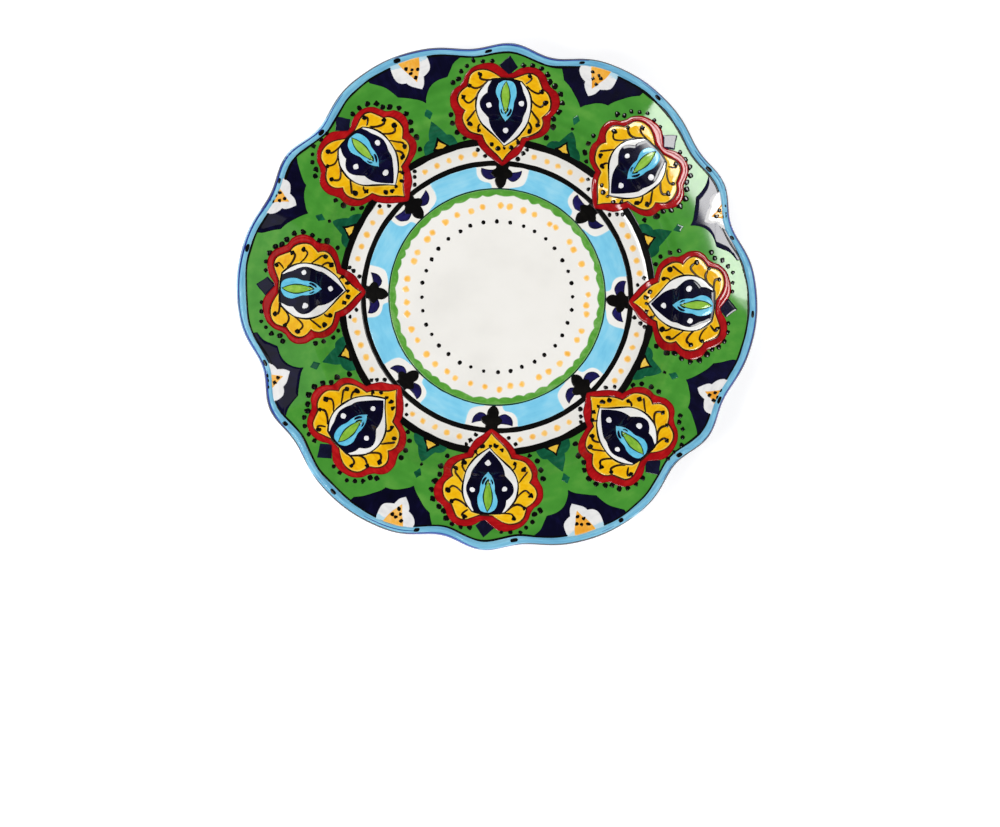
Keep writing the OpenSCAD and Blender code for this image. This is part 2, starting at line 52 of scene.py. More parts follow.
def wave(a):
    """How far the lobed rim stands out at the angle a: four cosines round the plate."""
    d = np.radians
    return (3.27 * np.cos(6 * a + d(35.5)) + 1.44 * np.cos(12 * a + d(25.7))
            + 1.28 * np.cos(18 * a + d(-115.8)) + 0.45 * np.cos(24 * a + d(99.3)))


WAVE_TOP = wave(np.linspace(0, 2 * np.pi, 3600)).max()


def rim_r(a, inset):
    """Radius of the rim at the angle a, less a distance inwards."""
    return RIM_R - WAVE_TOP + wave(a) - inset


def wall_and_flange(r, bend, drop):
    """Heights of the wall, an arc of the radius bend that starts at the well, and of the flange,
    a straight slope."""
    arc = ARC_Z - np.sqrt(np.maximum(bend**2 - np.maximum(r - WELL_R, 0)**2, 0))
    return arc, WALL_Z + (r - WALL_R) * SLOPE - drop


def face_z(r):
    """Height of the clay's face: a flat floor, the wall's arc and the flange, the last two
    blended by a soft minimum."""
    arc, flange = wall_and_flange(r, WALL_BEND, 0)
    soft = np.minimum(arc, flange) - np.maximum(BLEND - np.abs(arc - flange), 0)**2 / (4 * BLEND)
    return np.where(r <= WELL_R, FLOOR_Z, np.where(r >= FLANGE_R, flange, soft))


def back_z(r):
    """Height of the underside: a wider arc and the flange's line dropped by the clay's depth."""
    arc, flange = wall_and_flange(r, BACK_BEND, FLANGE_DROP)
    return np.where(r <= WELL_R, FOOT_H, np.where(r >= BACK_FLANGE_R, flange, np.minimum(arc, flange)))


def circle(n):
    """n equal angles all the way round."""
    return np.linspace(0, 2 * np.pi, n, endpoint=False)


def spun(r, a, z):
    """Points from radius, angle and height, spread over one grid."""
    return np.stack(np.broadcast_arrays(r * np.cos(a), r * np.sin(a), z), -1)


def lap(a, across, size):
    """Brush coordinates of strokes that run round the plate: a circle of a size, and a distance
    across the strokes."""
    return np.stack(np.broadcast_arrays(size * np.cos(a), across, size * np.sin(a)), -1)


def single(grid, brush, tone=0.5):
    """A grid laid once, with no edge of its own nearby, in the form that shell() takes."""
    return grid[None], 3.0, brush[None], tone


def shell(name, grids, shader, ends):
    """Skins grids of points in mm (copies x around x along x 3) as closed shells. Each grid comes
    with its depth from the nearest edge, its brush coordinates and a tone for each copy. Around
    closes on itself; along closes too (ring) or shrinks to one point at both ends (poles)."""
    stores, quads, tris, base = ([], [], [], []), [], [], 0
    ring = ends == "ring"
    for grid, depth, brush, tone in grids:
        k, n, m, _ = grid.shape
        cols = m if ring else m - 2
        cut = slice(None) if ring else slice(1, -1)
        tone = np.asarray(tone, float).reshape(-1, 1, 1)
        depth, tone = (np.broadcast_to(v, (k, n, m))[..., None] for v in (depth, tone))
        layers = grid, depth, brush, tone
        parts = [v[:, :, cut].reshape(k, n * cols, -1) for v in layers]
        if not ring:
            tips = [v[:, :, [0, -1]].mean(1).reshape(k, 2, -1) for v in layers]
            parts = [np.concatenate([p, t], 1) for p, t in zip(parts, tips)]
        for store, v in zip(stores, parts):
            store.append(v.reshape(-1, v.shape[-1]))
        i = np.arange(n)[:, None]
        j = np.arange(cols if ring else cols - 1)[None]
        i2, j2 = (i + 1) % n, (j + 1) % cols
        q = np.stack(np.broadcast_arrays(i * cols + j, i2 * cols + j, i2 * cols + j2,
                                         i * cols + j2), -1).reshape(-1, 4)
        t = np.zeros((0, 3), int)
        if not ring:
            i, i2 = i[:, 0], i2[:, 0]
            first, last = np.full(n, n * cols), np.full(n, n * cols + 1)
            t = np.concatenate([np.stack([first, i2 * cols, i * cols], -1),
                                np.stack([last, i * cols + cols - 1, i2 * cols + cols - 1], -1)])
        p = parts[0][0]
        both = np.concatenate([q[:, [0, 1, 2]], q[:, [0, 2, 3]], t])
        if np.einsum("ij,ij->i", p[both[:, 0]], np.cross(p[both[:, 1]], p[both[:, 2]])).sum() < 0:
            q, t = q[:, ::-1], t[:, ::-1]
        shift = base + np.arange(k)[:, None, None] * len(p)
        quads.append((q[None] + shift).reshape(-1, 4))
        tris.append((t[None] + shift).reshape(-1, 3))
        base += k * len(p)
    quads, tris = np.concatenate(quads), np.concatenate(tris)
    co, depth, brush, tone = (np.concatenate(store) for store in stores)
    mesh = bpy.data.meshes.new(name)
    mesh.vertices.add(base)
    mesh.vertices.foreach_set("co", (co * MM).astype(np.float32).ravel())
    loops = np.concatenate([quads.ravel(), tris.ravel()]).astype(np.int32)
    starts = np.concatenate([np.arange(len(quads)) * 4,
                             len(quads) * 4 + np.arange(len(tris)) * 3]).astype(np.int32)
    mesh.loops.add(len(loops))
    mesh.polygons.add(len(starts))
    mesh.loops.foreach_set("vertex_index", loops)
    mesh.polygons.foreach_set("loop_start", starts)
    mesh.polygons.foreach_set("use_smooth", np.ones(len(starts), bool))
    mesh.update(calc_edges=True)
    for key, kind, field, v in (("depth", "FLOAT", "value", depth), ("tone", "FLOAT", "value", tone),
                                ("brush", "FLOAT_VECTOR", "vector", brush)):
        layer = mesh.attributes.new(key, kind, "POINT").data
        layer.foreach_set(field, v.astype(np.float32).ravel())
    mesh.materials.append(shader)
    piece = bpy.data.objects.new(name, mesh)
    bpy.context.scene.collection.objects.link(piece)
    return piece


def lay(name, grids, shader, ends="poles", slot=None):
    """Adds a piece that moves with the plate. Without a slot it stands for the CAD node of its name,
    which is hidden; with a slot of another node it is an extra piece, and no CAD node is hidden."""
    piece = shell(name, grids, shader, ends)
    if slot is None:
        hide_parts(name)
    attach(piece, "root")


def linear(r, g, b):
    """A screen colour, 0-255, as the linear colour that a shader takes."""
    c = np.array([r, g, b]) / 255
    return tuple(np.where(c <= 0.04045, c / 12.92, ((c + 0.055) / 1.055)**2.4)) + (1.0,)


def feed(tree, node, inputs):
    """Gives each of a node's inputs its value, or links it to the socket given for it."""
    for key, value in inputs.items():
        if isinstance(value, bpy.types.NodeSocket):
            tree.links.new(value, node.inputs[key])
        else:
            node.inputs[key].default_value = value


def add(tree, kind, inputs=None, **settings):
    """A new shader node with its settings, then its inputs as feed() takes them."""
    node = tree.nodes.new("ShaderNode" + kind)
    for key, value in settings.items():
        setattr(node, key, value)
    feed(tree, node, inputs or {})
    return node


def mix_colours(tree, factor, first, second):
    """The first colour, changed to the second by the factor."""
    return add(tree, "Mix", {0: factor, 6: first, 7: second}, data_type="RGBA").outputs[2]


def brush_group():
    """Brush strokes: fine noise stretched along the stroke, over broad uneven patches of colour.
    Gives a tone from 0 to 1 and the height of the strokes."""
    group = bpy.data.node_groups.new("Brush strokes", "ShaderNodeTree")
    group.interface.new_socket("Vector", in_out="INPUT", socket_type="NodeSocketVector")
    for label, value in (("Along", 8.0), ("Across", 0.8), ("Patch", 7.0), ("Tone", 0.5)):
        socket = group.interface.new_socket(label, in_out="INPUT", socket_type="NodeSocketFloat")
        socket.default_value = value
    for label in ("Tone", "Height"):
        group.interface.new_socket(label, in_out="OUTPUT", socket_type="NodeSocketFloat")
    given = group.nodes.new("NodeGroupInput").outputs
    split = add(group, "SeparateXYZ", {0: given["Vector"]}).outputs
    x = add(group, "Math", {0: split["X"], 1: given["Along"]}, operation="DIVIDE")
    y = add(group, "Math", {0: split["Y"], 1: given["Across"]}, operation="DIVIDE")
    stroke = add(group, "CombineXYZ", {"X": x.outputs[0], "Y": y.outputs[0], "Z": split["Z"]})
    fine = add(group, "TexNoise", {"Scale": 1.0, "Detail": 4.0, "Vector": stroke.outputs[0]})
    wide = add(group, "VectorMath", {0: given["Vector"], 1: given["Patch"]}, operation="DIVIDE")
    patch = add(group, "TexNoise", {"Scale": 1.0, "Detail": 2.0, "Vector": wide.outputs[0]})
    mix = add(group, "Mix", {0: 0.5, 2: fine.outputs["Fac"], 3: patch.outputs["Fac"]})
    stretch = add(group, "MapRange", {"From Min": 0.3, "From Max": 0.7, "Value": mix.outputs[0]})
    both = add(group, "Mix", {0: 0.3, 2: stretch.outputs[0], 3: given["Tone"]})
    feed(group, group.nodes.new("NodeGroupOutput"),
         {"Tone": both.outputs[0], "Height": fine.outputs["Fac"]})
    return group


BRUSH = brush_group()


def paint(name, tones, edge=None, edge_mm=(0.1, 0.7), along=8.0, across=0.8, patch=7.0,
          rough=(0.25, 0.45), coat=1.0, bump=0.15):
    """A painted, fired colour: the brush strokes run through its three tones, dark to light, the
    colour pools or thins towards the edge (on the red border the dark edge is also painted shade),
    and clear glaze lies over it. Colours are screen colours; edge_mm is where the edge's colour is full
    and where it ends."""
    shader = bpy.data.materials.new(name)
    shader.use_nodes = True
    tree = shader.node_tree
    brush, depth, tone = (add(tree, "Attribute", attribute_name=key) for key in
                          ("brush", "depth", "tone"))
    stroke = add(tree, "Group", {"Along": along, "Across": across, "Patch": patch,
                                 "Vector": brush.outputs["Vector"],
                                 "Tone": tone.outputs["Fac"]}, node_tree=BRUSH).outputs
    ramp = add(tree, "ValToRGB", {0: stroke["Tone"]})
    stops = ramp.color_ramp.elements
    stops.new(0.5)
    for i, place in enumerate((0.08, 0.5, 0.92)):
        stops[i].position = place
        stops[i].color = linear(*tones[i])
    colour = ramp.outputs[0]
    if edge:
        near = add(tree, "MapRange", {"From Min": edge_mm[1], "From Max": edge_mm[0],
                                      "Value": depth.outputs["Fac"]})
        colour = mix_colours(tree, near.outputs[0], colour, linear(*edge))
    gloss = add(tree, "MapRange", {"To Min": rough[0], "To Max": rough[1], "Value": stroke["Tone"]})
    lump = add(tree, "Bump", {"Strength": bump, "Distance": 0.0002, "Height": stroke["Height"]})
    feed(tree, tree.nodes["Principled BSDF"], {
        "Base Color": colour, "Roughness": gloss.outputs[0], "Normal": lump.outputs["Normal"],
        "Specular IOR Level": 0.05, "Coat Weight": coat, "Coat Roughness": 0.03})
    return shader


def clay_section():
    """Profile of the clay as points [radius, height, share of the rim's wave]: from the axis out
    along the recess, round the foot, up the back, through the lip and home along the face."""
    def run(r, z, share=0.0):
        return np.stack(np.broadcast_arrays(r, z, share), -1)

    def lobed(r):
        return np.maximum(0, (r - LOBE_START) / LOBE_FADE)

    recess, sole = np.linspace(0, 70.5, 48), np.linspace(73.6, 78.4, 9)
    back, face = np.linspace(80.2, 139, 30), np.linspace(139, 0, 60)
    bend, lip = np.radians(np.linspace(0, 90, 5)), np.radians(np.linspace(-100, 110, 9))
    return np.concatenate([
        run(recess, FOOT_H + 0.06 * np.sin(recess * 1.9)),
        run([FOOT_IN - 1.2, FOOT_IN - 0.3], [FOOT_H, FOOT_H - 0.4]),
        run(FOOT_IN + FOOT_BEND - np.cos(bend), FOOT_BEND - np.sin(bend)),
        run(sole, 0.03 + 0.03 * np.sin(sole * 5)),
        run(FOOT_OUT - FOOT_BEND + np.sin(bend), FOOT_BEND - np.cos(bend)),
        run(back, back_z(back), lobed(back)),
        run(141.1 + 1.75 * np.cos(lip), 30.9 + 2.65 * np.sin(lip), 1.0),
        run(face, face_z(face), lobed(face))])


def clay_grid(n=288):
    """The clay's profile carried round the axis, its outer part following the lobed rim."""
    a, section = circle(n)[:, None], clay_section()[None]
    out = section[..., 2] * (rim_r(a, 0) - SECTION_RIM_R)
    r = section[..., 0] + out
    return single(spun(r, a, section[..., 1] + out * SLOPE), lap(a, r, r * 0.15))


lay("clay_body", [clay_grid()], paint(
    "bare clay", [(168, 150, 128), (205, 192, 172), (226, 216, 200)], along=3, across=0.6,
    patch=9, rough=(0.65, 0.85), coat=0.0, bump=0.5))

# ---------------------------------------------------------------- ground glaze
# Opaque white glaze poured over the whole face. It is the ground for the painting and is left
# showing in the well, the dotted band, the halos and the rings inside the palmettes.
GROUND = 0.4


def ground_grid(n=480):
    """Face height plus the glaze's depth over a polar grid; the film turns under at the lip."""
    a = circle(n)[:, None]
    s = np.concatenate([np.linspace(0, 0.5, 16), np.linspace(0.52, 0.8, 44),
                        np.linspace(0.815, 1, 20)])[None]
    top, low = s * rim_r(a, 4.2), s[:, ::-4] * rim_r(a, 4.2)
    lift = GROUND + 0.012 * np.sin(top * 0.31 + 2 * np.sin(3 * a))
    r = np.concatenate([top, low], 1)
    grid = spun(r, a, face_z(r) + np.concatenate([lift, -0.9 + 0 * low], 1))
    return single(grid, grid)


lay("face_glaze", [ground_grid()], paint(
    "white ground glaze", [(224, 222, 217), (234, 232, 227), (239, 237, 233)], along=30,
    across=24, patch=40, rough=(0.2, 0.3), bump=0.02))

# ---------------------------------------------------------------- back glaze
# Dark cobalt glaze brushed over the whole underside and down the outside of the foot, where it
# was wiped off in an uneven line before firing.


def back_grid(n=360):
    """The underside's profile set off by the glaze's depth, closed through the clay."""
    a = circle(n)[:, None]
    s = np.linspace(0, 1, 36)[None]
    start = FOOT_OUT + 0.6
    out_r = start + s * (rim_r(a, 3.2) - start)
    out_z = back_z(out_r) - (0.42 + 0.03 * np.sin(9 * a + s * 7) + 0.02 * np.sin(23 * a))
    hem = 0.42 + 0.14 * np.sin(5 * a + 1) + 0.08 * np.sin(13 * a) + 0.05 * np.sin(31 * a)
    foot_r = FOOT_OUT + np.array([[-0.4, 0.2, 0.42, 0.45, 0.5]]) + 0 * a
    foot_z = hem + np.array([[0.0, 0.0, 0.12, 0.6, 1.2]])
    in_r = out_r[:, ::-3]
    r = np.concatenate([foot_r, out_r, in_r], 1)
    z = np.concatenate([foot_z, out_z, back_z(in_r) + 1.2], 1)
    return single(spun(r, a, z), lap(a, r, 14))


lay("back_glaze", [back_grid()], paint(
    "cobalt back glaze", [(3, 3, 14), (7, 8, 32), (13, 15, 62)], along=5, across=2.5,
    patch=16, rough=(0.2, 0.35), bump=0.1), "ring")

# ---------------------------------------------------------------- lip glaze
# Light blue glaze laid round the rolled lip with a loaded brush. It washes unevenly over the
# edge of the flange.
LIP_IN, LIP_WIDE, LIP_TALL, LIP_DROP = 2.4, 2.0, 3.0, 2.5
GLAZE_TOP = 0.4


def ripple(rng, a, low, high, size):
    """Seeded uneven line round the plate: sines of whole frequencies, so that it closes."""
    k = np.arange(low, high)
    amp = rng.uniform(0.4, 1, len(k)) / np.sqrt(len(k))
    return size * (amp * np.sin(a[..., None] * k + rng.uniform(0, 6.28, len(k)))).sum(-1)


def lip_at(a, turn, out):
    """Radius and height on the lip's rounded section: an ellipse that hangs on the flange's own
    line, at a turn round it in degrees and a distance out from the clay."""
    t = np.radians(turn)
    z = face_z(rim_r(a, LIP_IN)) - LIP_DROP + (LIP_TALL + out) * np.sin(t)
    return rim_r(a, LIP_IN - (LIP_WIDE + out) * np.cos(t)), z


def lip_edge(a):
    """How far in from the rim the lip's blue ends: an uneven line that the black one follows."""
    rng = np.random.default_rng(3)
    return 4.7 + ripple(rng, a, 5, 24, 0.5) + ripple(rng, a, 30, 70, 0.12)


def lip_grid(n=720):
    """The lip's section carried round the lobed rim: ellipse, then a film over the flange."""
    a, film_in = circle(n)[:, None], 4.0
    turn = np.linspace(-128, 130, 22)[None] + 0 * a
    out_r, out_z = lip_at(a, turn, GLAZE_TOP + 0.02 * np.sin(17 * a + turn / 30))
    film_r = rim_r(a, film_in + np.array([[0, 0.5, 0.85, 1.0]]) * (lip_edge(a) - film_in))
    film_z = face_z(film_r) + np.array([[0.53, 0.52, 0.5, 0.38]])
    deep_r = rim_r(a, film_in)
    in_r, in_z = lip_at(a, np.linspace(120, -120, 8)[None] + 0 * a, -0.3)
    r = np.concatenate([out_r, film_r, deep_r, in_r], 1)
    z = np.concatenate([out_z, film_z, face_z(deep_r) + 0.1, in_z], 1)
    around = np.cumsum(np.hypot(np.diff(r, axis=1, prepend=r[:, :1]),
                                np.diff(z, axis=1, prepend=z[:, :1])), 1)
    return single(spun(r, a, z), lap(a, around, 30))


lay("lip_glaze", [lip_grid()], paint(
    "light blue lip glaze", [(86, 150, 192), (118, 184, 214), (158, 212, 230)], along=4,
    across=1.1, patch=10, bump=0.2), "ring")

# ---------------------------------------------------------------- lip streaks
# Royal blue brushed round the lower half of the lip, with an uneven upper line, and broken
# streaks of it trailed along the crest. Long strokes lie along it too; the two on the left of the
# rim are partly painted shade and painted dark reflection of the lip.
# The rows from -124 to -46, on the left of the rim, are partly painted shade and dark reflection.
LONG_STREAKS_AND_SHADE = np.array([[-330, -268, 8, 44], [-300, -236, 20, 62], [-262, -228, 0, 34],
                         [-200, -150, 6, 30], [-176, -158, 30, 62], [-124, -88, 36, 66],
                         [-92, -46, 44, 76], [-24, 22, 40, 70]])
SHORT_STREAKS = 40


def on_lip(a0, a1, turn0, turn1, rise, n_along=14):
    """Strokes along the lip: each runs from the angle a0 to a1 round the rim, between turn0 and
    turn1 on the lip's section, pinched to a point at both ends and pillowed between."""
    a0, a1, turn0, turn1 = (np.asarray(v, float)[:, None, None] for v in (a0, a1, turn0, turn1))
    s = np.linspace(0, 1, n_along)[None, None]
    phi = circle(20)[None, :, None]
    a = a0 + (a1 - a0) * s
    full = np.sqrt(np.maximum(1 - (2 * s - 1)**2, 0))**0.7
    turn = (turn0 + turn1) / 2 + (turn1 - turn0) / 2 * full * np.cos(phi)
    out = GLAZE_TOP + np.where(np.sin(phi) > 0, rise, 0.06) * full * np.sin(phi)
    r, z = lip_at(a, turn, out)
    brush = np.stack(np.broadcast_arrays(a * 40, turn * 0.05, a0), -1)
    depth = full * (1 - np.abs(np.cos(phi)))
    return spun(r, a, z), depth, brush, np.arange(len(a0)) % 5 / 5


def hem_grid(n=720):
    """A film on the lower outside of the lip whose upper line wanders and drips."""
    rng = np.random.default_rng(8)
    a, low = circle(n)[:, None], -124.0
    top = 4 + ripple(rng, a, 4, 20, 18) + 9 * np.maximum(ripple(rng, a, 24, 60, 1.0), 0)
    s = np.array([[0, 0.1, 0.3, 0.5, 0.7, 0.88, 0.97, 1.0]])
    turn = low + (top - low) * s
    swell = 0.07 * np.sqrt(np.maximum(1 - (2 * s - 1)**8, 0))
    r1, z1 = lip_at(a, turn, GLAZE_TOP + swell)
    r2, z2 = lip_at(a, turn[:, ::-1], GLAZE_TOP - 0.1)
    r, z = np.concatenate([r1, r2[:, ::3]], 1), np.concatenate([z1, z2[:, ::3]], 1)
    return single(spun(r, a, z), lap(a, z, 30), 0.4)


def streak_grid():
    """Long loaded strokes where the brush was pressed (the two on the left of the rim partly painted
    shade and dark reflection), and seeded broken ones along the crest. A long one is given by its
    start and stop round the rim and its two sides on the section."""
    rng = np.random.default_rng(11)
    n = SHORT_STREAKS
    a0 = np.sort(rng.uniform(0, 2 * np.pi, n))
    length, mid, half = rng.uniform(0.05, 0.24, n), rng.uniform(20, 84, n), rng.uniform(2, 7, n)
    a1, a2 = np.radians(90 - LONG_STREAKS_AND_SHADE[:, 1]), np.radians(90 - LONG_STREAKS_AND_SHADE[:, 0])
    return on_lip(np.append(a1, a0), np.append(a2, a0 + length),
                  np.append(LONG_STREAKS_AND_SHADE[:, 2], mid - half),
                  np.append(LONG_STREAKS_AND_SHADE[:, 3], mid + half), 0.06, 40)


royal = paint("royal blue streaks", [(14, 24, 92), (28, 52, 146), (60, 110, 188)], along=3,
              across=0.7, patch=8, bump=0.2)
lay("lip_hem", [hem_grid()], royal, "ring", slot="lip_streaks")
lay("lip_streaks", [streak_grid()], royal)

# ---------------------------------------------------------------- lip line
# A black line drawn with a thin brush where the lip's blue meets the painting on the flange.


def line_grid(n=720):
    """A narrow pillowed band along the uneven edge of the lip's blue."""
    a, phi = circle(n)[:, None], circle(10)[None]
    half = 0.5 + np.abs(ripple(np.random.default_rng(5), a, 6, 40, 0.3))
    r = rim_r(a, lip_edge(a) + 0.35 + half * np.cos(phi))
    z = face_z(r) + 0.46 + np.where(np.sin(phi) > 0, 0.24, 0.08) * np.sin(phi)
    return single(spun(r, a, z), lap(a, r - rim_r(a, 5), 30), 0.4)


black = paint("black line", [(2, 2, 2), (5, 4, 4), (16, 14, 12)], along=4, across=0.7,
              patch=6, bump=0.2)
lay("lip_line", [line_grid()], black, "ring")

# ---------------------------------------------------------------- lip spots
# Black blobs dropped on the lip by the brush at uneven distances, each pulled a little along it,
# and thin black lines of painted shade along the lip's outermost edge.
SPOTS = [-2, 39, 59, 76, 94, 115, 131, 151, 176, 220, 239, 254, 281, 298, 313, 337, 199, 20]
EDGE_SHADE_LOW, EDGE_SHADE_HIGH = 16.0, 50.0
EDGE_SHADE_SPANS = [(-44, -22), (-25, 4), (1, 36), (33, 62), (60, 88), (84, 112), (118, 147), (148, 176),
          (198, 226), (228, 252), (290, 304)]


def spot_grid():
    """Short blunt strokes on the crest of the lip."""
    rng = np.random.default_rng(21)
    mid = np.radians(90 - np.array(SPOTS, float))
    half = rng.uniform(0.010, 0.017, len(mid))
    turn = rng.uniform(86, 108, len(mid))
    size = rng.uniform(20, 34, len(mid))
    return on_lip(mid - half, mid + half, turn - size, turn + size, 0.12)


def edge_shade_grid():
    """Thin black strokes of painted shade along the outer edge of the lip, each between two turns round
    the rim.
    """
    start, stop = np.radians(90 - np.array(EDGE_SHADE_SPANS, float)).T
    low, high = (np.full(len(EDGE_SHADE_SPANS), turn) for turn in (EDGE_SHADE_LOW, EDGE_SHADE_HIGH))
    return on_lip(stop, start, low, high, 0.09, 40)


# The lip_spots piece also carries the painted shade lines along the lip's outer edge.
lay("lip_spots", [spot_grid(), edge_shade_grid()], black)

# ---------------------------------------------------------------- green clouds
# Green enamel over the flange and the wall behind the palmettes, brushed outwards in broad
# strokes. Each palmette has a cloud of it, scalloped where it meets the navy.
ENAMEL_BASE = 0.36
PALM = 2.9 + 45 * np.arange(8) + np.random.default_rng(1).normal(0, 0.22, 8)
GAP = 2.9 + 22.5 + 45 * np.arange(8)


def curve(points, closed=True, fine=10):
    """Smooth line through listed points; a third number marks a corner. Cubic spans: the
    slope at a smooth point is its neighbours' chord, at a corner each span bends on its own."""
    p = np.array([q[:2] for q in points], float)
    sharp = np.array([len(q) > 2 for q in points])
    if not closed:
        sharp[[0, -1]] = True
    nxt, prv = np.roll(p, -1, 0), np.roll(p, 1, 0)
    ahead = np.linalg.norm(nxt - p, axis=1)
    slope = (nxt - prv) / (ahead + np.roll(ahead, 1))[:, None]
    chord = (nxt - p) / ahead[:, None]
    m0, m1 = slope, np.roll(slope, -1, 0)
    s0, s1 = sharp[:, None], np.roll(sharp, -1)[:, None]
    a = np.where(s0, np.where(s1, chord, 1.5 * chord - 0.5 * m1), m0) * ahead[:, None]
    b = np.where(s1, np.where(s0, chord, 1.5 * chord - 0.5 * m0), m1) * ahead[:, None]
    t = np.linspace(0, 1, fine, endpoint=False)[None, :, None]
    h = ((2 * t**3 - 3 * t**2 + 1) * p[:, None] + (t**3 - 2 * t**2 + t) * a[:, None]
         + (3 * t**2 - 2 * t**3) * nxt[:, None] + (t**3 - t**2) * b[:, None])
    if closed:
        return h.reshape(-1, 2)
    return np.concatenate([h[:-1].reshape(-1, 2), p[-1:]])


def reach(loop, centre, seed, sway, n, first=1):
    """Distance of a closed line from its centre at n equal angles, for eight copies, each swayed
    by six seeded sines as a hand would."""
    loop = loop - np.array(centre)
    a = circle(n)
    plain = np.interp(a, np.arctan2(loop[:, 1], loop[:, 0]), np.hypot(*loop.T), period=2 * np.pi)
    rng = np.random.default_rng(seed)
    k = np.arange(first, first + 6)
    size = rng.normal(0, 1, (8, 6)) / k
    phase = rng.uniform(0, 6.28, (8, 6))
    return plain + sway * (size[:, None] * np.sin(a[None, :, None] * k + phase[:, None])).sum(-1)


def outline(points, centre, seed, sway, n):
    """The reach of an outline through listed points."""
    return reach(curve(points), centre, seed, sway, n)


def two_kinds(first, second, centre, seed, sway, n):
    """Eight copies: the odd ones follow the first outline and the even ones the second."""
    a, b = (outline(points, centre, seed, sway, n) for points in (first, second))
    return np.where(np.arange(8)[:, None] % 2 == 0, a, b)


def swung(u, v, turn):
    """Places u sideways and v outwards, swung clockwise about the plate's axis, as x and y."""
    return u * np.cos(turn) + v * np.sin(turn), v * np.cos(turn) - u * np.sin(turn)


def draped(u, v, turns, lift):
    """Points drawn u sideways and v outwards in the copies' own places, laid on the face: each
    copy is swung to its turn and lifted off the clay."""
    x, y = swung(u, v, np.radians(turns).reshape(-1, 1, 1))
    return np.stack([x, y, face_z(np.hypot(x, y)) + lift], -1)


def drawn(u, v, step, start=0):
    """Brush coordinates as drawn, with a stretch of the noise of its own for each copy."""
    copy = np.arange(len(u))[:, None, None] * step + start
    return np.stack(np.broadcast_arrays(u, v, copy), -1)


def fill(centre, far, turns, top, seed, base=ENAMEL_BASE, soft=0.6, hole=None, rows=8, rim=None,
         ridge=0.0):
    """A patch of enamel: the outline drawn in towards its centre (or towards a hole) in rings,
    laid on the face, with a rounded edge of width soft and a bottom sunk into the glaze below.
    rim keeps it that far in from the plate's rim, and ridge thickens it along the edge."""
    a = circle(far.shape[1])[None, :, None]
    cu, cv = centre
    far = far[..., None]
    if rim is not None:
        turn = np.radians(turns).reshape(-1, 1, 1)
        for _ in range(14):
            x, y = swung(cu + far * np.cos(a), cv + far * np.sin(a), turn)
            far = far - np.maximum(np.hypot(x, y) - rim_r(np.arctan2(y, x), rim), 0)
    near = 0 * far if hole is None else hole[..., None]
    width = far - near
    steps = soft * np.array([0, 0.04, 0.14, 0.32, 0.6, 1.0]) * np.minimum(1, 0.45 * width / soft)
    edge, full = steps[..., :-1], steps[..., -1:]
    inner = np.linspace(0, 1, rows)[None, None]
    if hole is None:
        mid = inner * (far - full)
        r = np.concatenate([mid, far - edge[..., ::-1]], -1)
        depth = far - r
    else:
        mid = near + full + inner * (width - 2 * full)
        r = np.concatenate([near + edge, mid, far - edge[..., ::-1]], -1)
        depth = np.minimum(far - r, r - near)
    rounding = np.sqrt(1 - (1 - np.clip(depth / np.maximum(full, 1e-6), 0, 1))**2)
    lift = base + (top - base) * rounding
    if ridge:
        lift = lift + ridge * np.exp(-((depth - soft) / (0.8 * soft))**2)
    under = mid[..., ::-1]
    r = np.concatenate([r, under], -1)
    lift = np.concatenate([lift, base - 0.05 + 0 * under], -1)
    depth = np.concatenate([depth, 0 * under], -1)
    u, v = cu + r * np.cos(a), cv + r * np.sin(a)
    tone = np.random.default_rng(seed + 900).uniform(0, 1, len(u))
    return draped(u, v, turns, lift), depth, drawn(u, v, 7.3, seed), tone


def ring(near, far, top, seed, size=20, **how):
    """A patch of enamel that runs all round between two uneven circles, brushed round."""
    grid, depth, _brush, tone = fill((0, 0), far, [0], top, seed, hole=near, **how)
    x, y = grid[..., 0], grid[..., 1]
    return grid, depth, lap(np.arctan2(y, x), np.hypot(x, y), size), tone


def uneven_circles(radii, seed, uneven, n):
    """A circle for each radius, each uneven in long and in short waves of its own."""
    rng = np.random.default_rng(seed)
    a = circle(n)[None]
    return [r + ripple(rng, a, 3, 18, uneven) + ripple(rng, a, 20, 60, uneven / 2) for r in radii]


CLOUD_IN, CLOUD_RIM, CLOUD_FINE = 86.5, 4.3, 600
green_in = uneven_circles([CLOUD_IN], seed=31, uneven=0.15, n=CLOUD_FINE)[0]
green_out = rim_r(circle(CLOUD_FINE)[None], CLOUD_RIM)
lay("green_clouds", [ring(green_in, green_out, top=0.5, seed=31, rows=52)], paint(
    "green enamel", [(56, 128, 40), (70, 145, 50), (100, 165, 66)], along=2.2, across=9,
    patch=9, bump=0.12), "ring")

# ---------------------------------------------------------------- navy border
# Navy enamel fills the hollows between the clouds out to the lip.
NAVY_MID = (-1.5, 129)
GAP_A = [(-24.5, 133, 1), (-23, 131), (-21.5, 129.3), (-19.5, 126.7), (-18, 124.3, 1), (-14, 122.7),
         (-10, 120), (-6, 117), (-3.3, 114.3, 1), (-1.6, 116.3), (0, 117.5), (3.5, 120), (7, 121.5),
         (10.5, 122, 1), (12, 124.5), (16, 128.5), (20, 132), (24, 134.3, 1), (30, 150, 1),
         (-30, 150, 1)]
GAP_B = [(-27, 135, 1), (-24, 133), (-20, 130), (-17, 126), (-15, 122.3, 1), (-12, 121), (-7, 118.5),
         (-3.5, 116.5), (-1, 114, 1), (0, 117), (3, 121), (6, 123), (10, 124), (15, 123.8, 1),
         (17.5, 126.5), (21, 130), (26, 131.8, 1), (30, 150, 1), (-30, 150, 1)]
navy_r = two_kinds(GAP_A, GAP_B, NAVY_MID, seed=41, sway=0.12, n=300)
lay("navy_border", [fill(NAVY_MID, navy_r, GAP, top=0.6, seed=41, rim=4.5, rows=7)], paint(
    "navy enamel", [(2, 2, 20), (5, 4, 33), (14, 13, 54)], edge=(1, 3, 14), along=2.5,
    across=7, patch=8))

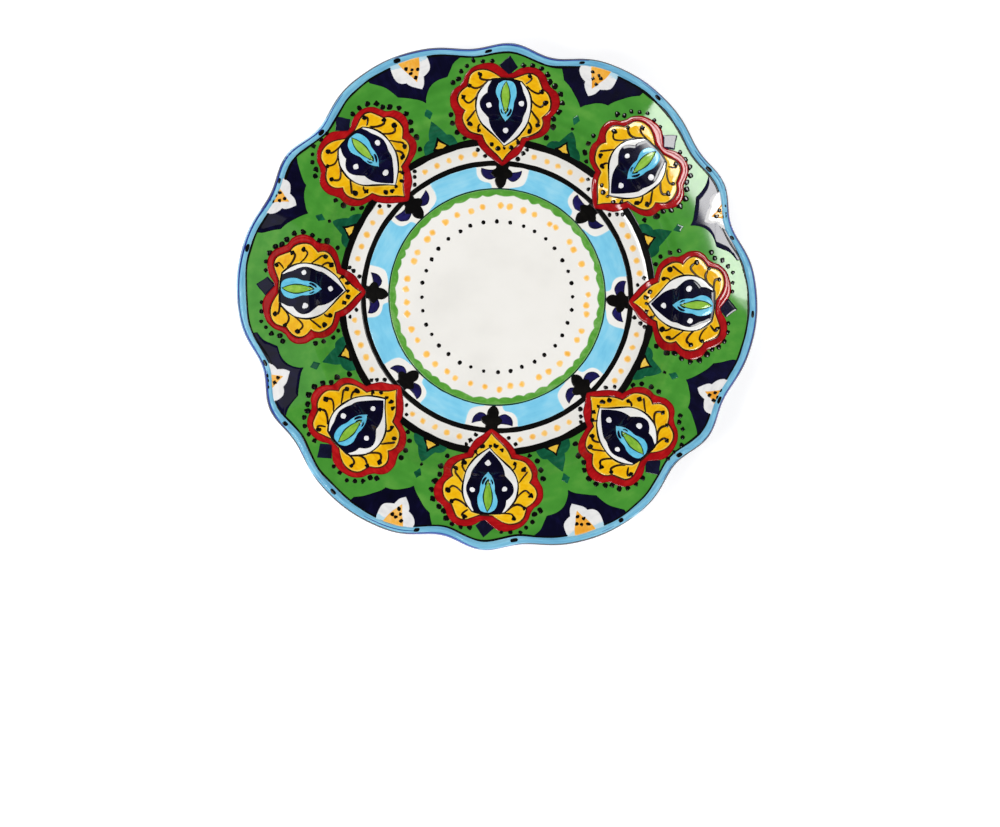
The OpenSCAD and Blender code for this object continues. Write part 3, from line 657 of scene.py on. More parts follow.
# ---------------------------------------------------------------- cloud diamonds and dots
# Between each pair of clouds a dark green diamond and, under every second one, a black dot.
GEM_MID = (-2.3, 107.6)
GEM_A = [(-2.6, 110.5, 1), (-0.2, 107.8, 1), (-2.3, 104.3, 1), (-4.6, 107.7, 1)]
GEM_B = [(-2, 111, 1), (0.4, 108, 1), (-2, 104.6, 1), (-4.4, 108, 1)]
dark_green = paint("dark green enamel", [(6, 62, 38), (12, 84, 56), (30, 108, 76)], along=6,
                   across=1.6, patch=5)
gem_r = two_kinds(GEM_A, GEM_B, GEM_MID, seed=51, sway=0.15, n=96)
lay("cloud_diamonds", [fill(GEM_MID, gem_r, GAP, top=0.6, seed=51, base=0.46, rows=4,
                            soft=0.4)], dark_green)


def dots(spots, turns, top, seed, base=ENAMEL_BASE, uneven=0.1, spread=0.12, scale=1.0):
    """Brush dots: [sideways, outwards, radius] in each copy's own place, as domed blobs that are
    neither quite round nor quite alike."""
    rng = np.random.default_rng(seed)
    u, v, size = (np.tile(c, len(turns)) for c in np.array(spots, float).T)
    k = len(u)
    u, v = u + rng.normal(0, spread, k), v + rng.normal(0, spread, k)
    a = circle(14)[None]
    lobes = a[..., None] * np.arange(2, 5)
    bend = rng.normal(0, uneven, (k, 1, 3)) * np.sin(lobes + rng.uniform(0, 6.28, (k, 1, 3)))
    far = scale * size[:, None] * rng.uniform(0.88, 1.12, (k, 1)) * (1 + bend.sum(-1))
    r = far[..., None] * np.array([0, 0.45, 0.75, 0.93, 1.0, 0.5, 0])
    rise = np.array([1, 0.93, 0.75, 0.45, 0, -0.1, -0.1])
    u = u[:, None, None] + r * np.cos(a[..., None])
    v = v[:, None, None] + r * np.sin(a[..., None])
    grid = draped(u, v, np.repeat(turns, len(spots)), base + (top - base) * rise)
    depth = (far[..., None] - r) * np.array([1, 1, 1, 1, 1, 0, 0])
    return grid, depth, drawn(u, v, 3.1), rng.uniform(0, 1, k)


lay("cloud_dots", [dots([(-2, 102, 1.0)], GAP[0::2], top=0.72, seed=52, base=0.46)], black)

# ---------------------------------------------------------------- cloud leaves
# A dark green trefoil stands on the black ring between the palmettes, with a black shadow and a
# yellow triangle painted at its foot.
LEAF_MID, SHADE_MID, DART_MID = (-1.5, 90.3), (-1.6, 89.8), (-1.7, 89.9)
LEAF_A = [(-1.5, 100.6), (-2.8, 99.3), (-4, 97), (-5.2, 94.6), (-6, 92.9, 1), (-8.5, 92.1),
          (-10.3, 90.6), (-11.2, 88.3), (-11.3, 86.8, 1), (9, 86.8, 1), (9, 88.7), (8.2, 90.5),
          (6.5, 92.5), (4.4, 93.6, 1), (3.9, 94.7), (2.5, 97), (0.4, 99.4)]
LEAF_B = [(-1.8, 104, 1), (-3.5, 101), (-5.4, 97.8), (-6.2, 94.5, 1), (-8.5, 93.7), (-10.8, 91.5),
          (-11.5, 88.5), (-11.5, 86.8, 1), (8.6, 86.8, 1), (8.5, 88.5), (8, 91), (6.5, 93.5),
          (4, 94.5, 1), (2.2, 98), (0, 101.5)]
SHADE = [(-1.7, 95.2, 1), (-3.2, 92.4), (-6.6, 88.6, 1), (-6, 86.8, 1), (3.4, 86.8, 1), (3.4, 88.6, 1),
         (0.6, 91.6)]
DART = [(-1.7, 92.9, 1), (-3, 91.2), (-4.9, 88.9, 1), (-1.8, 88.3), (1.6, 88.9, 1), (-0.2, 91)]
leaf_r = two_kinds(LEAF_A, LEAF_B, LEAF_MID, seed=53, sway=0.15, n=240)
shade_r = outline(SHADE, SHADE_MID, seed=54, sway=0.15, n=96)
dart_r = outline(DART, DART_MID, seed=55, sway=0.15, n=96)
lay("cloud_leaves", [fill(LEAF_MID, leaf_r, GAP, top=0.6, seed=53, soft=0.5)], dark_green)
lay("leaf_shadows", [fill(SHADE_MID, shade_r, GAP, top=0.67, seed=54, rows=4, soft=0.4)], black)
lay("leaf_triangles", [fill(DART_MID, dart_r, GAP, top=0.74, seed=55, rows=4, soft=0.4)], paint(
    "yellow triangle enamel", [(214, 168, 40), (240, 196, 70), (248, 216, 120)],
    edge=(200, 150, 50), edge_mm=(0.0, 0.4), along=3, across=1))

# ---------------------------------------------------------------- white blossoms
# White enamel blossoms hang from the lip in the navy, each with an orange heart that fades to a
# point and five black dots. The lip's blue washes over their outer ends.
BLOOM_MID, HEART_MID = (-2.2, 131.5), (-2, 133)
BLOOM_A = [(-13, 140, 1), (-13, 134.3), (-12, 132), (-10, 130), (-7, 128.5, 1), (-6.8, 127), (-5, 124.6),
           (-2, 122, 1), (0.7, 124.2), (2, 126.8), (2.4, 128, 1), (5, 129), (7.5, 130.6), (8.4, 133),
           (8.4, 140, 1)]
BLOOM_B = [(-13.5, 140, 1), (-13.6, 134), (-12.5, 130.5), (-10.4, 128.8), (-7.7, 128.2, 1), (-6, 125.8),
           (-3, 123.6), (-0.5, 122, 1), (1.5, 124.5), (2.8, 128.4, 1), (5, 129.3), (7.4, 131.2),
           (8.2, 134), (7.8, 140, 1)]
HEART = [(-8.8, 140, 1), (-7, 135.5), (-5, 131.8), (-3.3, 129), (-1.9, 126.2, 1), (-0.4, 128.8),
         (1.3, 131.8), (2.8, 135), (4, 140, 1)]
BLOOM_DOTS = [(-3.9, 132, 1.15), (-1.5, 129.8, 1.2), (0.7, 133.4, 1.15), (-5.4, 135.4, 1.1),
              (-1.8, 134.6, 1.1)]
bloom = paint("white blossom enamel", [(214, 214, 216), (232, 231, 230), (240, 239, 238)],
              edge=(196, 198, 212), edge_mm=(0.0, 0.5), along=5, across=2)


def wash_over(shader, start, stop, colour):
    """A colour washed over the part of a shape that lies farther out than start, full at stop,
    along a line that noise makes uneven."""
    tree = shader.node_tree
    bsdf = tree.nodes["Principled BSDF"]
    was = bsdf.inputs["Base Color"].links[0].from_socket
    brush = add(tree, "Attribute", attribute_name="brush").outputs["Vector"]
    outward = add(tree, "SeparateXYZ", {0: brush}).outputs["Y"]
    uneven = add(tree, "TexNoise", {"Scale": 0.5, "Vector": brush}).outputs["Fac"]
    lean = add(tree, "Math", {0: uneven, 1: 3.0, 2: outward}, operation="MULTIPLY_ADD")
    near = add(tree, "MapRange", {"From Min": start, "From Max": stop, "To Max": 0.7,
                                  "Value": lean.outputs[0]})
    feed(tree, bsdf, {"Base Color": mix_colours(tree, near.outputs[0], was, linear(*colour))})


wash_over(bloom, 138.4, 139.2, (150, 206, 228))
bloom_r = two_kinds(BLOOM_A, BLOOM_B, BLOOM_MID, seed=61, sway=0.15, n=240)
orange_r = outline(HEART, HEART_MID, seed=62, sway=0.15, n=120)
lay("white_blossoms", [fill(BLOOM_MID, bloom_r, GAP, top=0.7, seed=61, rim=4.0, rows=5)], bloom)
lay("blossom_hearts", [fill(HEART_MID, orange_r, GAP, top=0.77, seed=62, rim=4.0, rows=5,
                            soft=0.7)], paint(
    "orange heart enamel", [(226, 146, 36), (240, 172, 60), (246, 196, 112)],
    edge=(244, 216, 176), edge_mm=(0.0, 0.7), along=1.5, across=4))
lay("blossom_dots", [dots(BLOOM_DOTS, GAP, top=0.9, seed=63, base=0.68, spread=0.3)], black)

# ---------------------------------------------------------------- rings
# Two black rings and a fine dark green one, laid with the plate turning under the brush. The
# outermost stops at the palmettes, which were painted over its ends.
OUTER_RING, INNER_RING, FINE_RING, RING_TOP = (84.7, 88.7), (73, 76), (59.85, 60.75), 0.62


def arcs(radii, starts, stops, top, seed, uneven=0.15):
    """Curved strokes between two radii, each from a start to a stop turn: a boxy arched section
    that is pinched at both ends."""
    rng = np.random.default_rng(seed)
    starts, stops = (np.asarray(v, float)[:, None, None] for v in (starts, stops))
    s = np.concatenate([[0, 0.004, 0.012], np.linspace(0.025, 0.975, 60),
                        [0.988, 0.996, 1]])[None, None]
    full = np.sqrt(np.clip(1 - (1 - np.minimum(np.minimum(s, 1 - s) / 0.025, 1))**2, 0, 1))
    a = np.radians(90 - (starts + (stops - starts) * s))
    half = (radii[1] - radii[0]) / 2 * full * (1 + ripple(rng, a, 8, 60, uneven / 2))
    mid = (radii[1] + radii[0]) / 2 + ripple(rng, a, 4, 30, uneven)
    phi = circle(20)[None, :, None]
    c, v = np.cos(phi), np.sin(phi)
    side = np.sign(c) * np.abs(c)**0.6
    r = mid + half * side
    lift = np.where(v > 0, (top - ENAMEL_BASE) * np.abs(v)**0.5 * full, -0.05 * np.abs(v))
    depth = half * (1 - np.abs(side)) * (v > 0)
    grid = spun(r, a, face_z(r) + ENAMEL_BASE + lift)
    return grid, depth, lap(a, r, 20), rng.uniform(0, 1, len(starts))


gap_from, gap_to = PALM + 6.9, np.roll(PALM, -1) - 8.9
gap_to[-1] += 360
lay("outer_black_ring", [arcs(OUTER_RING, gap_from, gap_to, top=0.64, seed=71)], black)
near, far = uneven_circles(INNER_RING, seed=72, uneven=0.12, n=480)
lay("inner_black_ring", [ring(near, far, RING_TOP, seed=72, rows=4)], black, "ring")
near, far = uneven_circles(FINE_RING, seed=73, uneven=0.1, n=480)
lay("fine_line", [ring(near, far, RING_TOP, seed=73, rows=3, soft=0.3)], paint(
    "dark green line", [(10, 30, 22), (16, 52, 40), (30, 80, 70)], along=4, across=0.7), "ring")

# ---------------------------------------------------------------- blue ring and fleurs
# Sky blue enamel in eight lengths between the white halos, and in each halo a black fleur-de-lis
# with navy side lobes that hangs from the inner black ring.
BLUE_MID, BLUE_IN, BLUE_OUT = (0, 66.5), 60.3, 73.3
LOBE_L_MID, LOBE_R_MID, STEM_MID = (-8, 68), (5.5, 67.3), (-1.2, 67)
HALO_L = [(-15.3, 73.2), (-15, 71), (-14.5, 67.5), (-13, 65), (-10.5, 63.7), (-7.5, 63.2), (-6.5, 62),
          (-6, 60.3)]
HALO_R = [(3.3, 60.3), (4.2, 61), (8, 61.5), (11.3, 63), (13, 66), (13.7, 69), (14.2, 71.5),
          (14.3, 73.2)]
LOBE_L = [(-12.5, 71.6, 1), (-12.7, 69.5), (-12, 67.5), (-10.5, 66), (-8, 65), (-5.5, 65.7), (-3, 67.5),
          (-2.5, 69.5), (-5, 70.6), (-8, 70.7), (-11, 71.1)]
LOBE_R = [(0.5, 67.5), (2.5, 65.7), (4, 64.8), (6, 64.5), (8.5, 66), (9.8, 68), (10.4, 71, 1), (8, 70.1),
          (5, 69.6), (2.5, 70.2), (0.5, 69.5)]
STEM = [(-4.8, 73.4, 1), (-4.3, 71.9), (-6.2, 70.4), (-7, 68.6), (-5.6, 67), (-4.5, 66.2), (-4.7, 64.4),
        (-4, 62.4), (-2.6, 60.8), (-1.5, 60.4), (0, 61.1), (1.3, 62.7), (1.9, 64.4), (2.2, 66),
        (4.4, 66.8), (5.4, 68.4), (4.4, 70.2), (2.6, 71.7), (3.6, 73.4, 1)]


def blue_outline():
    """One length of the blue ring, seen from the middle of the gap: the right side of one halo,
    the black ring, the left side of the next halo and the fine line."""
    half_gap = math.radians(22.5)
    left = curve(np.stack(swung(*np.transpose(HALO_R), -half_gap), 1), closed=False)
    right = curve(np.stack(swung(*np.transpose(HALO_L), half_gap), 1), closed=False)
    top = np.linspace(math.atan2(*left[-1]), math.atan2(*right[0]), 40)[1:-1]
    low = np.linspace(math.atan2(*right[-1]), math.atan2(*left[0]), 60)[1:-1]
    return np.concatenate([left, BLUE_OUT * np.stack([np.sin(top), np.cos(top)], 1),
                           right, BLUE_IN * np.stack([np.sin(low), np.cos(low)], 1)])


blue_r = reach(blue_outline(), BLUE_MID, seed=74, sway=0.1, n=360, first=2)
lobe_l_r = outline(LOBE_L, LOBE_L_MID, seed=75, sway=0.1, n=96)
lobe_r_r = outline(LOBE_R, LOBE_R_MID, seed=76, sway=0.1, n=96)
stem_r = outline(STEM, STEM_MID, seed=77, sway=0.1, n=144)
lay("blue_ring", [fill(BLUE_MID, blue_r, GAP, top=0.52, seed=74, rows=5, soft=0.5)], paint(
    "sky blue enamel", [(104, 184, 220), (124, 200, 230), (152, 212, 234)], edge=(168, 220, 238),
    edge_mm=(0.0, 0.8), along=9, across=2.5, patch=10))
lay("fleurs", [fill(LOBE_L_MID, lobe_l_r, PALM, top=0.6, seed=75, rows=4, soft=0.5),
               fill(LOBE_R_MID, lobe_r_r, PALM, top=0.6, seed=76, rows=4, soft=0.5)], paint(
    "navy fleur enamel", [(12, 10, 36), (24, 20, 74), (36, 32, 104)],
    edge=(12, 10, 34), edge_mm=(0.0, 1.0), along=3, across=1))
lay("fleur_stems", [fill(STEM_MID, stem_r, PALM, top=0.66, seed=77, rows=5, soft=0.5)], black,
    slot="fleurs")

# ---------------------------------------------------------------- scallop ring
# A green ring inside the fine line, ended inwards in rows of short dabs; where the brush ran
# dry the dabs are thin and pale.
DABS, DAB_R, SCALLOP_OUT = 46, 57.0, 60.0


def dabbed_circle(n):
    """The ring's inner line: a row of uneven half-round dabs."""
    rng = np.random.default_rng(81)
    a = circle(n)[None]
    beat = a * DABS + ripple(rng, a, 3, 14, 2.2)
    dab = (1.1 + ripple(rng, a, 6, 30, 0.4)) * np.abs(np.cos(beat / 2))
    return DAB_R - dab + ripple(rng, a, 3, 12, 0.3)


dabs = dabbed_circle(960)
lay("scallop_ring", [ring(dabs, SCALLOP_OUT + 0 * dabs, top=0.56, seed=81, size=24, rows=5,
                          soft=0.4)], paint(
    "scallop green enamel", [(64, 134, 40), (86, 154, 56), (132, 178, 104)], edge=(150, 192, 130),
    edge_mm=(0.0, 0.5), along=1.6, across=2), "ring")

# ---------------------------------------------------------------- dots of the well and the band
# Soft amber dots in the white band and inside the scallops, where the thin colour bled into the
# glaze, and a circle of small black dots inside those.
BAND_DOT, WELL_DOT, BLACK_DOT = (0, 80.4, 1.9), (0, 50.6, 2.0), (0, 42, 1.15)
BAND_PLACES, WELL_DOTS, BLACK_DOTS = np.array([-10.4, -5.2, 0, 5.2, 10.4]), 42, 36
amber = paint("amber wash", [(240, 170, 60), (250, 190, 84), (251, 208, 126)], edge=(246, 222, 180),
              edge_mm=(0.0, 1.0), along=2, across=2, patch=3, bump=0.05)
rng = np.random.default_rng(91)
band_turn = (GAP[:, None] + BAND_PLACES + rng.normal(0, 0.25, (8, 5))).ravel()
well_turn = np.arange(WELL_DOTS) * 360 / WELL_DOTS + rng.normal(0, 1.2, WELL_DOTS)
black_turn = np.arange(BLACK_DOTS) * 360 / BLACK_DOTS + rng.normal(0, 0.5, BLACK_DOTS)
lay("outer_amber_dots", [dots([BAND_DOT], band_turn, top=0.52, seed=92, uneven=0.04)], amber)
lay("inner_amber_dots", [dots([WELL_DOT], well_turn, top=0.5, seed=93, uneven=0.04, spread=0.4)], amber)
lay("inner_black_dots", [dots([BLACK_DOT], black_turn, top=0.6, seed=94, base=0.4, uneven=0.04,
                              spread=0.25)], black)

# ---------------------------------------------------------------- palmette borders
# Each palmette is bordered with a thick, raised band of red, darker along its edges: partly
# pooled colour, partly painted shade of the band's rounded edges. A thin dark line was drawn
# between it and the yellow.
MID, FINE = (-1, 105), 480
RED = [(0, 124, 1), (-4, 127), (-7, 129), (-10.5, 129.7), (-15.5, 128.8), (-20.5, 126.5), (-24, 122.5),
       (-25.2, 119), (-27, 116, 1), (-30, 113.5), (-31.6, 110), (-31.2, 105), (-29.5, 102), (-28, 99),
       (-28, 95.5), (-26, 91.5), (-22.5, 88.5), (-19, 87.3), (-15.5, 86.5, 1), (-14.5, 84),
       (-10.5, 79.5), (-6, 76), (-2.5, 73.5), (-1, 72.8, 1), (0.5, 73.5), (4, 76.5), (8, 79.5),
       (10.5, 83.5), (12, 87, 1), (16, 88.3), (20.5, 90), (23.5, 92.5), (25, 95.5), (25, 99),
       (25.5, 101), (28, 104), (29.5, 108), (29, 112), (27, 115.5, 1), (23.5, 118), (22, 121),
       (20, 124.5), (17, 127), (13, 128.3), (8, 127.8), (5, 126.5), (2.5, 124.8)]
PETAL = [(-4, 121.3, 1), (-7.5, 123.5), (-11, 125), (-14.5, 125.4), (-18.5, 124.3), (-21, 122),
         (-22, 119), (-22.5, 115.8, 1), (-25.5, 113.5), (-27.3, 111), (-27.8, 108), (-26.5, 105),
         (-23.2, 102.3, 1), (-24.3, 100), (-24.3, 97), (-22.5, 93.5), (-20, 91), (-16.5, 90),
         (-13, 89.5, 1), (-12, 87.5), (-10.5, 85), (-7, 81.5), (-3.5, 78.5), (-1, 75.8, 1), (1, 79),
         (4, 82.5), (7, 85.5), (9, 89.5, 1), (13, 90.5), (16.5, 92), (19.5, 94.5), (20.5, 97.5),
         (19.7, 100.5, 1), (22, 102.5), (24, 105), (24.5, 108.5), (23.7, 112), (22, 114.5),
         (19.5, 116, 1), (17.5, 120.5), (16, 123), (13.5, 124.3), (10.5, 124.3), (7, 123), (3, 121.3, 1)]
DROP = [(-8.5, 120.5, 1), (-2, 120.8), (3, 120.6), (7.5, 119.7, 1), (11, 115.5), (13, 111), (13.5, 107),
        (13, 102), (11.5, 96.5), (8, 91), (5, 88), (-0.5, 84, 1), (-4, 87.5), (-9.5, 92), (-13.5, 95.5),
        (-16, 99.5), (-17.3, 104), (-17.3, 108), (-16.5, 112), (-14, 116), (-11, 119.5, 1)]
red_r = outline(RED, MID, seed=101, sway=0.28, n=FINE)
petal_r = outline(PETAL, MID, seed=102, sway=0.18, n=FINE)
drop_r = outline(DROP, MID, seed=103, sway=0.12, n=FINE)
thin = 0.38 + 0.14 * np.sin(circle(FINE) * 7 + np.arange(8)[:, None])
brown = paint("dark outline", [(24, 10, 8), (44, 24, 12), (80, 52, 20)], along=3, across=0.8,
              patch=4)
# The red's dark edge colour is partly painted shade on the raised band's rounded edges.
lay("red_borders", [fill(MID, red_r, PALM, top=0.74, seed=104, hole=petal_r - 0.1, rows=5, soft=1.1,
                         ridge=0.02)], paint(
    "red enamel", [(136, 4, 12), (168, 12, 18), (194, 34, 32)], edge=(92, 2, 8), edge_mm=(0.0, 1.0),
    along=6, across=1.2, patch=6, bump=0.2), "ring")
lay("petal_outlines", [fill(MID, petal_r + thin, PALM, top=0.8, seed=105, hole=petal_r - thin, rows=2,
                            soft=0.3)], brown, "ring")

# ---------------------------------------------------------------- yellow petals
# Egg yellow enamel inside the border, thinner and paler towards its edges, with black scrolls
# that end in a drop drawn on it.
SCROLLS = [[(9.5, 118.8), (12, 120.6), (12.9, 122), (11.8, 123)],
           [(10.3, 117.7), (13, 115), (17, 113.4), (18.9, 114.6)],
           [(13.2, 110.3), (16, 107.5), (19, 106.3), (21, 108.4)],
           [(13.2, 104.6), (16, 101), (18, 98.5), (17.8, 96.6)],
           [(11.9, 98.5), (13.6, 96.4), (14.2, 94.6), (13.4, 93)],
           [(5.2, 88.4), (6.2, 88), (7, 87.2), (7.3, 86.4)],
           [(-9, 120.3), (-12.4, 120), (-15.2, 120.6), (-15.9, 122.6)],
           [(-11.5, 119.2), (-14.5, 116), (-17.8, 114.8), (-21.2, 116.2)],
           [(-16, 112.8), (-18.5, 109), (-21.6, 106.8), (-24.7, 109.4)],
           [(-17.3, 103.2), (-19.4, 100), (-21.2, 97.6), (-22, 96.2)],
           [(-14, 95.6), (-14.9, 94.8), (-15.3, 93.6), (-15, 92.4)]]
ENDS = [(11.5, 122.9, 1.15), (18.9, 114.7, 1.1), (21.1, 108.7, 1.25), (17.7, 96.3, 1.2),
        (13.2, 92.8, 1.3), (7.2, 86.4, 1.0), (3.7, 83.5, 1.1), (-15.8, 122.6, 1.1), (-21.4, 116.5, 1.0),
        (-24.7, 109.7, 1.2), (-20, 95.2, 1.3), (-15, 92, 1.1), (-7.3, 84.8, 1.1), (-3.9, 82.8, 1.2),
        (-0.6, 83.2, 0.8)]


def strokes(paths, turns, top, seed, half, base, taper):
    """Brush lines: an arched section carried along each path, swelling from the share taper of
    its width to the whole of it at the far end."""
    rng = np.random.default_rng(seed)
    one = np.array([curve(p, closed=False, fine=6) for p in paths])
    k, n = len(turns) * len(paths), one.shape[1]
    line = np.tile(one, (len(turns), 1, 1)) + rng.normal(0, 0.15, (k, 1, 2))
    way = np.gradient(line, axis=1)
    way /= np.linalg.norm(way, axis=2, keepdims=True)
    s = np.linspace(0, 1, n)
    full = np.sqrt(np.clip(1 - np.abs(2 * s - 1)**6, 0, 1)) * (taper + (1 - taper) * s)
    phi = circle(8)[None, :, None]
    wide = half * full * rng.uniform(0.85, 1.2, (k, 1, 1)) * np.cos(phi)
    u = line[:, None, :, 0] - way[:, None, :, 1] * wide
    v = line[:, None, :, 1] + way[:, None, :, 0] * wide
    lift = np.where(np.sin(phi) > 0, top - base, 0.05) * np.sin(phi) * full
    grid = draped(u, v, np.repeat(turns, len(paths)), base + lift)
    return grid, 0.5, drawn(u, v, 2.3), rng.uniform(0, 1, k)


lay("yellow_petals", [fill(MID, petal_r - 0.05, PALM, top=0.62, seed=106, hole=drop_r + 0.05, rows=5,
                           soft=0.8)], paint(
    "yellow enamel", [(224, 152, 4), (238, 182, 10), (246, 200, 44)], edge=(250, 214, 96),
    edge_mm=(0.2, 1.3), along=4, across=1.4, patch=5, bump=0.15), "ring")
lay("petal_scrolls", [strokes(SCROLLS, PALM, top=0.84, seed=107, half=0.72, base=0.6, taper=0.7)], brown)
lay("petal_dots", [dots(ENDS, PALM, top=0.87, seed=108, base=0.6, scale=1.2)], black)

# ---------------------------------------------------------------- hearts of the palmettes
# In the drop-shaped opening: a black brush line, the white ground, a navy heart, and on the
# heart a light blue flame, a lime leaf with a dark outline and three white dots.
HEAVY_MID, FLAME_MID = (-1.5, 106), (-1, 111)
HEAVY = [(-9.3, 120.6, 1), (-9.6, 119.4), (-11.1, 116), (-11.3, 113, 1), (-14, 110.5), (-15.3, 107.5),
         (-14.5, 104), (-12, 101), (-10, 99, 1), (-9.3, 96), (-7.5, 92.5), (-4, 88.5), (-0.5, 85.3, 1),
         (3, 89), (6.5, 93.5), (9, 97.5), (9.6, 100.5), (11, 104), (11.5, 107.5), (10.5, 111), (9, 114),
         (8, 117), (6.9, 119.2), (6.9, 120.4, 1), (0, 121)]
FLAME = [(-2.3, 120.2, 1), (-5.5, 118), (-6.8, 114), (-6, 111), (-4.8, 108.2), (-4.5, 105), (-3.2, 101),
         (-0.5, 97.3, 1), (2.5, 101), (3.7, 105), (4, 108.5), (5, 112), (4.7, 116), (3, 119.3),
         (0.4, 120.2, 1)]
LIME = [(-1, 119.4, 1), (-2.9, 116), (-3.5, 111.5), (-2.6, 107), (-0.5, 101.9, 1), (0.9, 106.5),
        (1.5, 111), (0.7, 115.5)]
WHITE_DOTS = [(-10, 106.2, 1.6), (7.9, 107.8, 1.6), (0.1, 92.7, 1.6)]
heart_r = outline(HEAVY, HEAVY_MID, seed=110, sway=0.12, n=300)
flame_r = outline(FLAME, FLAME_MID, seed=112, sway=0.1, n=160)
lime_r = outline(LIME, FLAME_MID, seed=114, sway=0.08, n=120)
heavy = 0.52 + 0.14 * np.sin(circle(FINE) * 5 + 1.7 * np.arange(8)[:, None])
lay("drop_whites", [fill(MID, drop_r[:, ::2], PALM, top=0.54, seed=118, rows=12, soft=0.4)], paint(
    "white enamel in the drops", [(224, 224, 222), (238, 237, 235), (242, 242, 240)], along=8,
    across=4), slot="face_glaze")
lay("drop_outlines", [fill(MID, drop_r + heavy, PALM, top=0.72, seed=109, hole=drop_r - heavy, rows=2,
                           soft=0.4)], black, "ring")
lay("navy_hearts", [fill(HEAVY_MID, heart_r, PALM, top=0.61, seed=111, rows=10, soft=0.5)], paint(
    "navy heart enamel", [(2, 1, 18), (4, 3, 31), (12, 9, 52)], edge=(2, 1, 16), along=2,
    across=5, patch=6))
lay("blue_flames", [fill(FLAME_MID, flame_r, PALM, top=0.66, seed=113, rows=5, soft=0.5)], paint(
    "light blue flame enamel", [(78, 172, 210), (100, 194, 226), (132, 208, 230)],
    edge=(60, 130, 176), edge_mm=(0.0, 0.35), along=1.2, across=4, patch=4))
lay("lime_leaves", [fill(FLAME_MID, lime_r, PALM, top=0.74, seed=115, rows=4, soft=0.4)], paint(
    "lime enamel", [(104, 160, 44), (140, 188, 62), (164, 204, 92)], edge=(96, 150, 60),
    edge_mm=(0.3, 0.8), along=1, across=4, patch=4))
lay("leaf_outlines", [fill(FLAME_MID, lime_r + 0.45, PALM, top=0.82, seed=116, hole=lime_r - 0.4, rows=2,
                           soft=0.3)], paint(
    "dark leaf outline", [(8, 14, 22), (14, 30, 30), (30, 66, 40)], along=3, across=1), "ring")
lay("heart_dots", [dots(WHITE_DOTS, PALM, top=0.76, seed=117, base=0.52, uneven=0.06)], paint(
    "white dot enamel", [(226, 226, 228), (238, 238, 240), (244, 244, 246)], along=2, across=1))

# ---------------------------------------------------------------- diamonds and edge dots
# A navy diamond stands in the cleft of each palmette, and black dots run along the outside of
# the red border, the last five of them on the white band.
TOP_MID = (0, 128.3)
GEM_TOP = [(0.2, 122.8, 1), (-5.6, 128.3, 1), (0.4, 134, 1), (5.2, 127.5, 1)]
EDGE = [(8.2, 128.8, 1.0), (13.2, 128.8, 1.05), (18, 127.3, 1.1), (21.7, 124.3, 1.15), (23, 120.5, 1.2),
        (26, 118, 1.25), (29.5, 114, 1.2), (30.5, 109, 1.25), (29, 104, 1.2), (26.2, 100.3, 1.2),
        (26.2, 95.8, 1.3), (23, 89.8, 1.1), (-9.5, 130.3, 0.9), (-14.5, 130, 0.9), (-20, 130, 0.9),
        (-23.3, 127, 0.9), (-26.5, 123.8, 1.0), (-27.5, 119.5, 1.1), (-30.5, 117.3, 1.1),
        (-30.8, 99.5, 1.1), (-29.5, 94.8, 1.15), (-27, 90, 1.1), (-22.8, 87.2, 1.0)]
TIPS = [(12.5, 82.8, 0.95), (10.5, 80.5, 1.1), (7.7, 77.2, 1.15), (-14.8, 81.3, 0.95), (-10.8, 78, 0.95)]
top_r = outline(GEM_TOP, TOP_MID, seed=121, sway=0.15, n=120)
lay("top_diamonds", [fill(TOP_MID, top_r, PALM, top=0.6, seed=122, rows=5, soft=0.5, rim=5.0)], paint(
    "navy diamond enamel", [(8, 8, 28), (14, 15, 40), (24, 26, 58)], along=1.5, across=4))
lay("edge_dots", [dots(EDGE, PALM, top=0.78, seed=123, base=0.5, uneven=0.07, scale=1.35)], black)
lay("tip_dots", [dots(TIPS, PALM, top=0.7, seed=124, base=0.4, uneven=0.08, scale=1.2)], black)

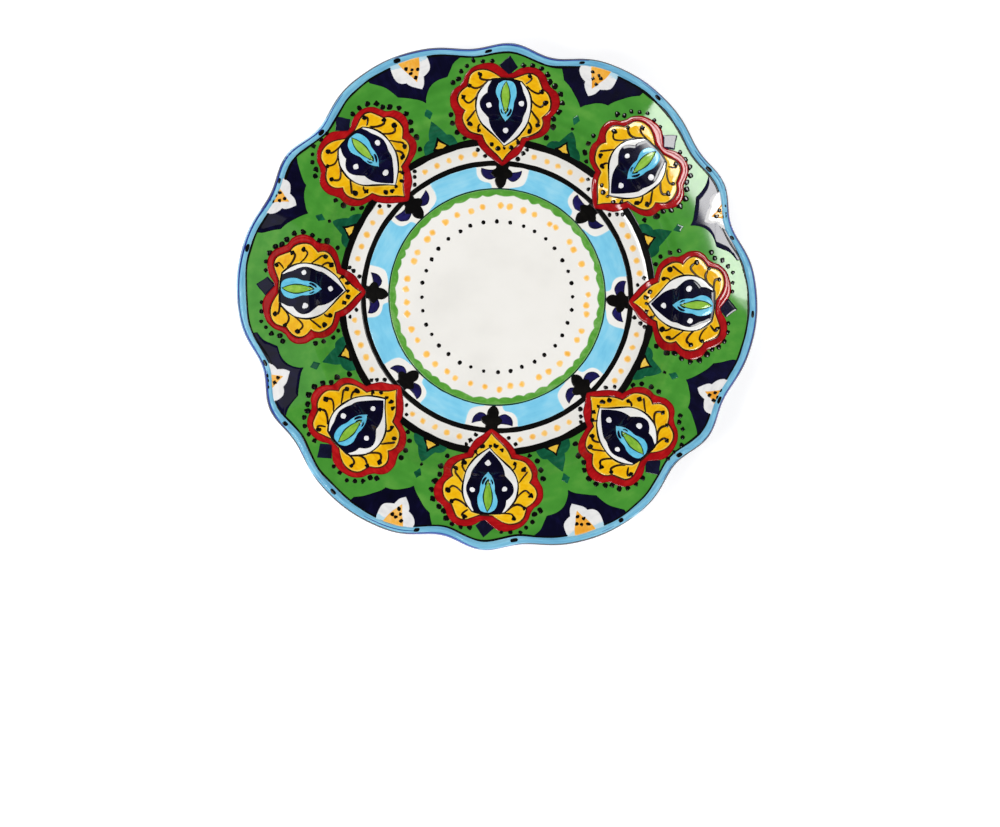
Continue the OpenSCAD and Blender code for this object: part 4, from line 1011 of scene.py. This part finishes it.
# ---------------------------------------------------------------- stage
# A plain white sweep under the plate, soft light from all round, and soft boxes that only show
# as highlights: one on the left with a brighter core, and a faint one on the right.
bpy.ops.mesh.primitive_plane_add(size=30, location=(0, 0, 0))
floor = bpy.context.object
floor.name = "floor"
white = bpy.data.materials.new("white sweep")
white.use_nodes = True
feed(white.node_tree, white.node_tree.nodes["Principled BSDF"], {
    "Base Color": (0.95, 0.95, 0.95, 1), "Roughness": 0.9, "Emission Color": (1, 1, 1, 1),
    "Emission Strength": 0.42, "Specular IOR Level": 0.0})
floor.data.materials.append(white)

scene = bpy.context.scene
scene.world = bpy.data.worlds.new("studio")
scene.world.use_nodes = True
studio = scene.world.node_tree
feed(studio, studio.nodes["Background"], {"Color": (1, 1, 1, 1), "Strength": 0.05})


def soft_box(name, shape, place, tilt, turn, wide, deep, power):
    """A flat soft light at a place in metres, tipped up from facing down and turned in degrees."""
    light = bpy.data.lights.new(name, "AREA")
    light.shape = shape
    light.size, light.size_y, light.energy = wide, deep, power
    lamp = bpy.data.objects.new(name, light)
    lamp.location, lamp.rotation_euler = place, (math.radians(tilt), 0, math.radians(turn))
    scene.collection.objects.link(lamp)
    return lamp


LIGHT_FAR, LIGHT_RISE, LIGHT_LIFT = 1.8, 28, 0.02
low_r = LIGHT_FAR * math.cos(math.radians(LIGHT_RISE))
low_z = LIGHT_FAR * math.sin(math.radians(LIGHT_RISE)) + LIGHT_LIFT
for i, azimuth in enumerate((20, 110, 200, 290)):
    a = math.radians(azimuth)
    place = (low_r * math.cos(a), low_r * math.sin(a), low_z)
    lamp = soft_box(f"wall light {i}", "RECTANGLE", place, 90 - LIGHT_RISE, azimuth + 90, 1.6, 0.6, 17)
    lamp.visible_glossy = False
for name, place, turn, wide, deep, power in (
        ("key soft box", (-0.405, -0.159, 1.06), -68.6, 0.48, 0.20, 1.2),
        ("key soft box core", (-0.419, -0.182, 1.05), -66.6, 0.45, 0.14, 1.45),
        ("right soft box", (0.50, 0.06, 1.06), 90, 0.46, 0.15, 0.08)):
    soft_box(name, "ELLIPSE", place, 0, turn, wide, deep, power).data.diffuse_factor = 0

camera = bpy.data.objects.new("camera", bpy.data.cameras.new("camera"))
camera.data.sensor_width, camera.data.lens = 36, 324.9
camera.location = (0.00166, -0.0649, 5.035)
scene.collection.objects.link(camera)
scene.camera = camera
scene.view_settings.view_transform = "Standard"
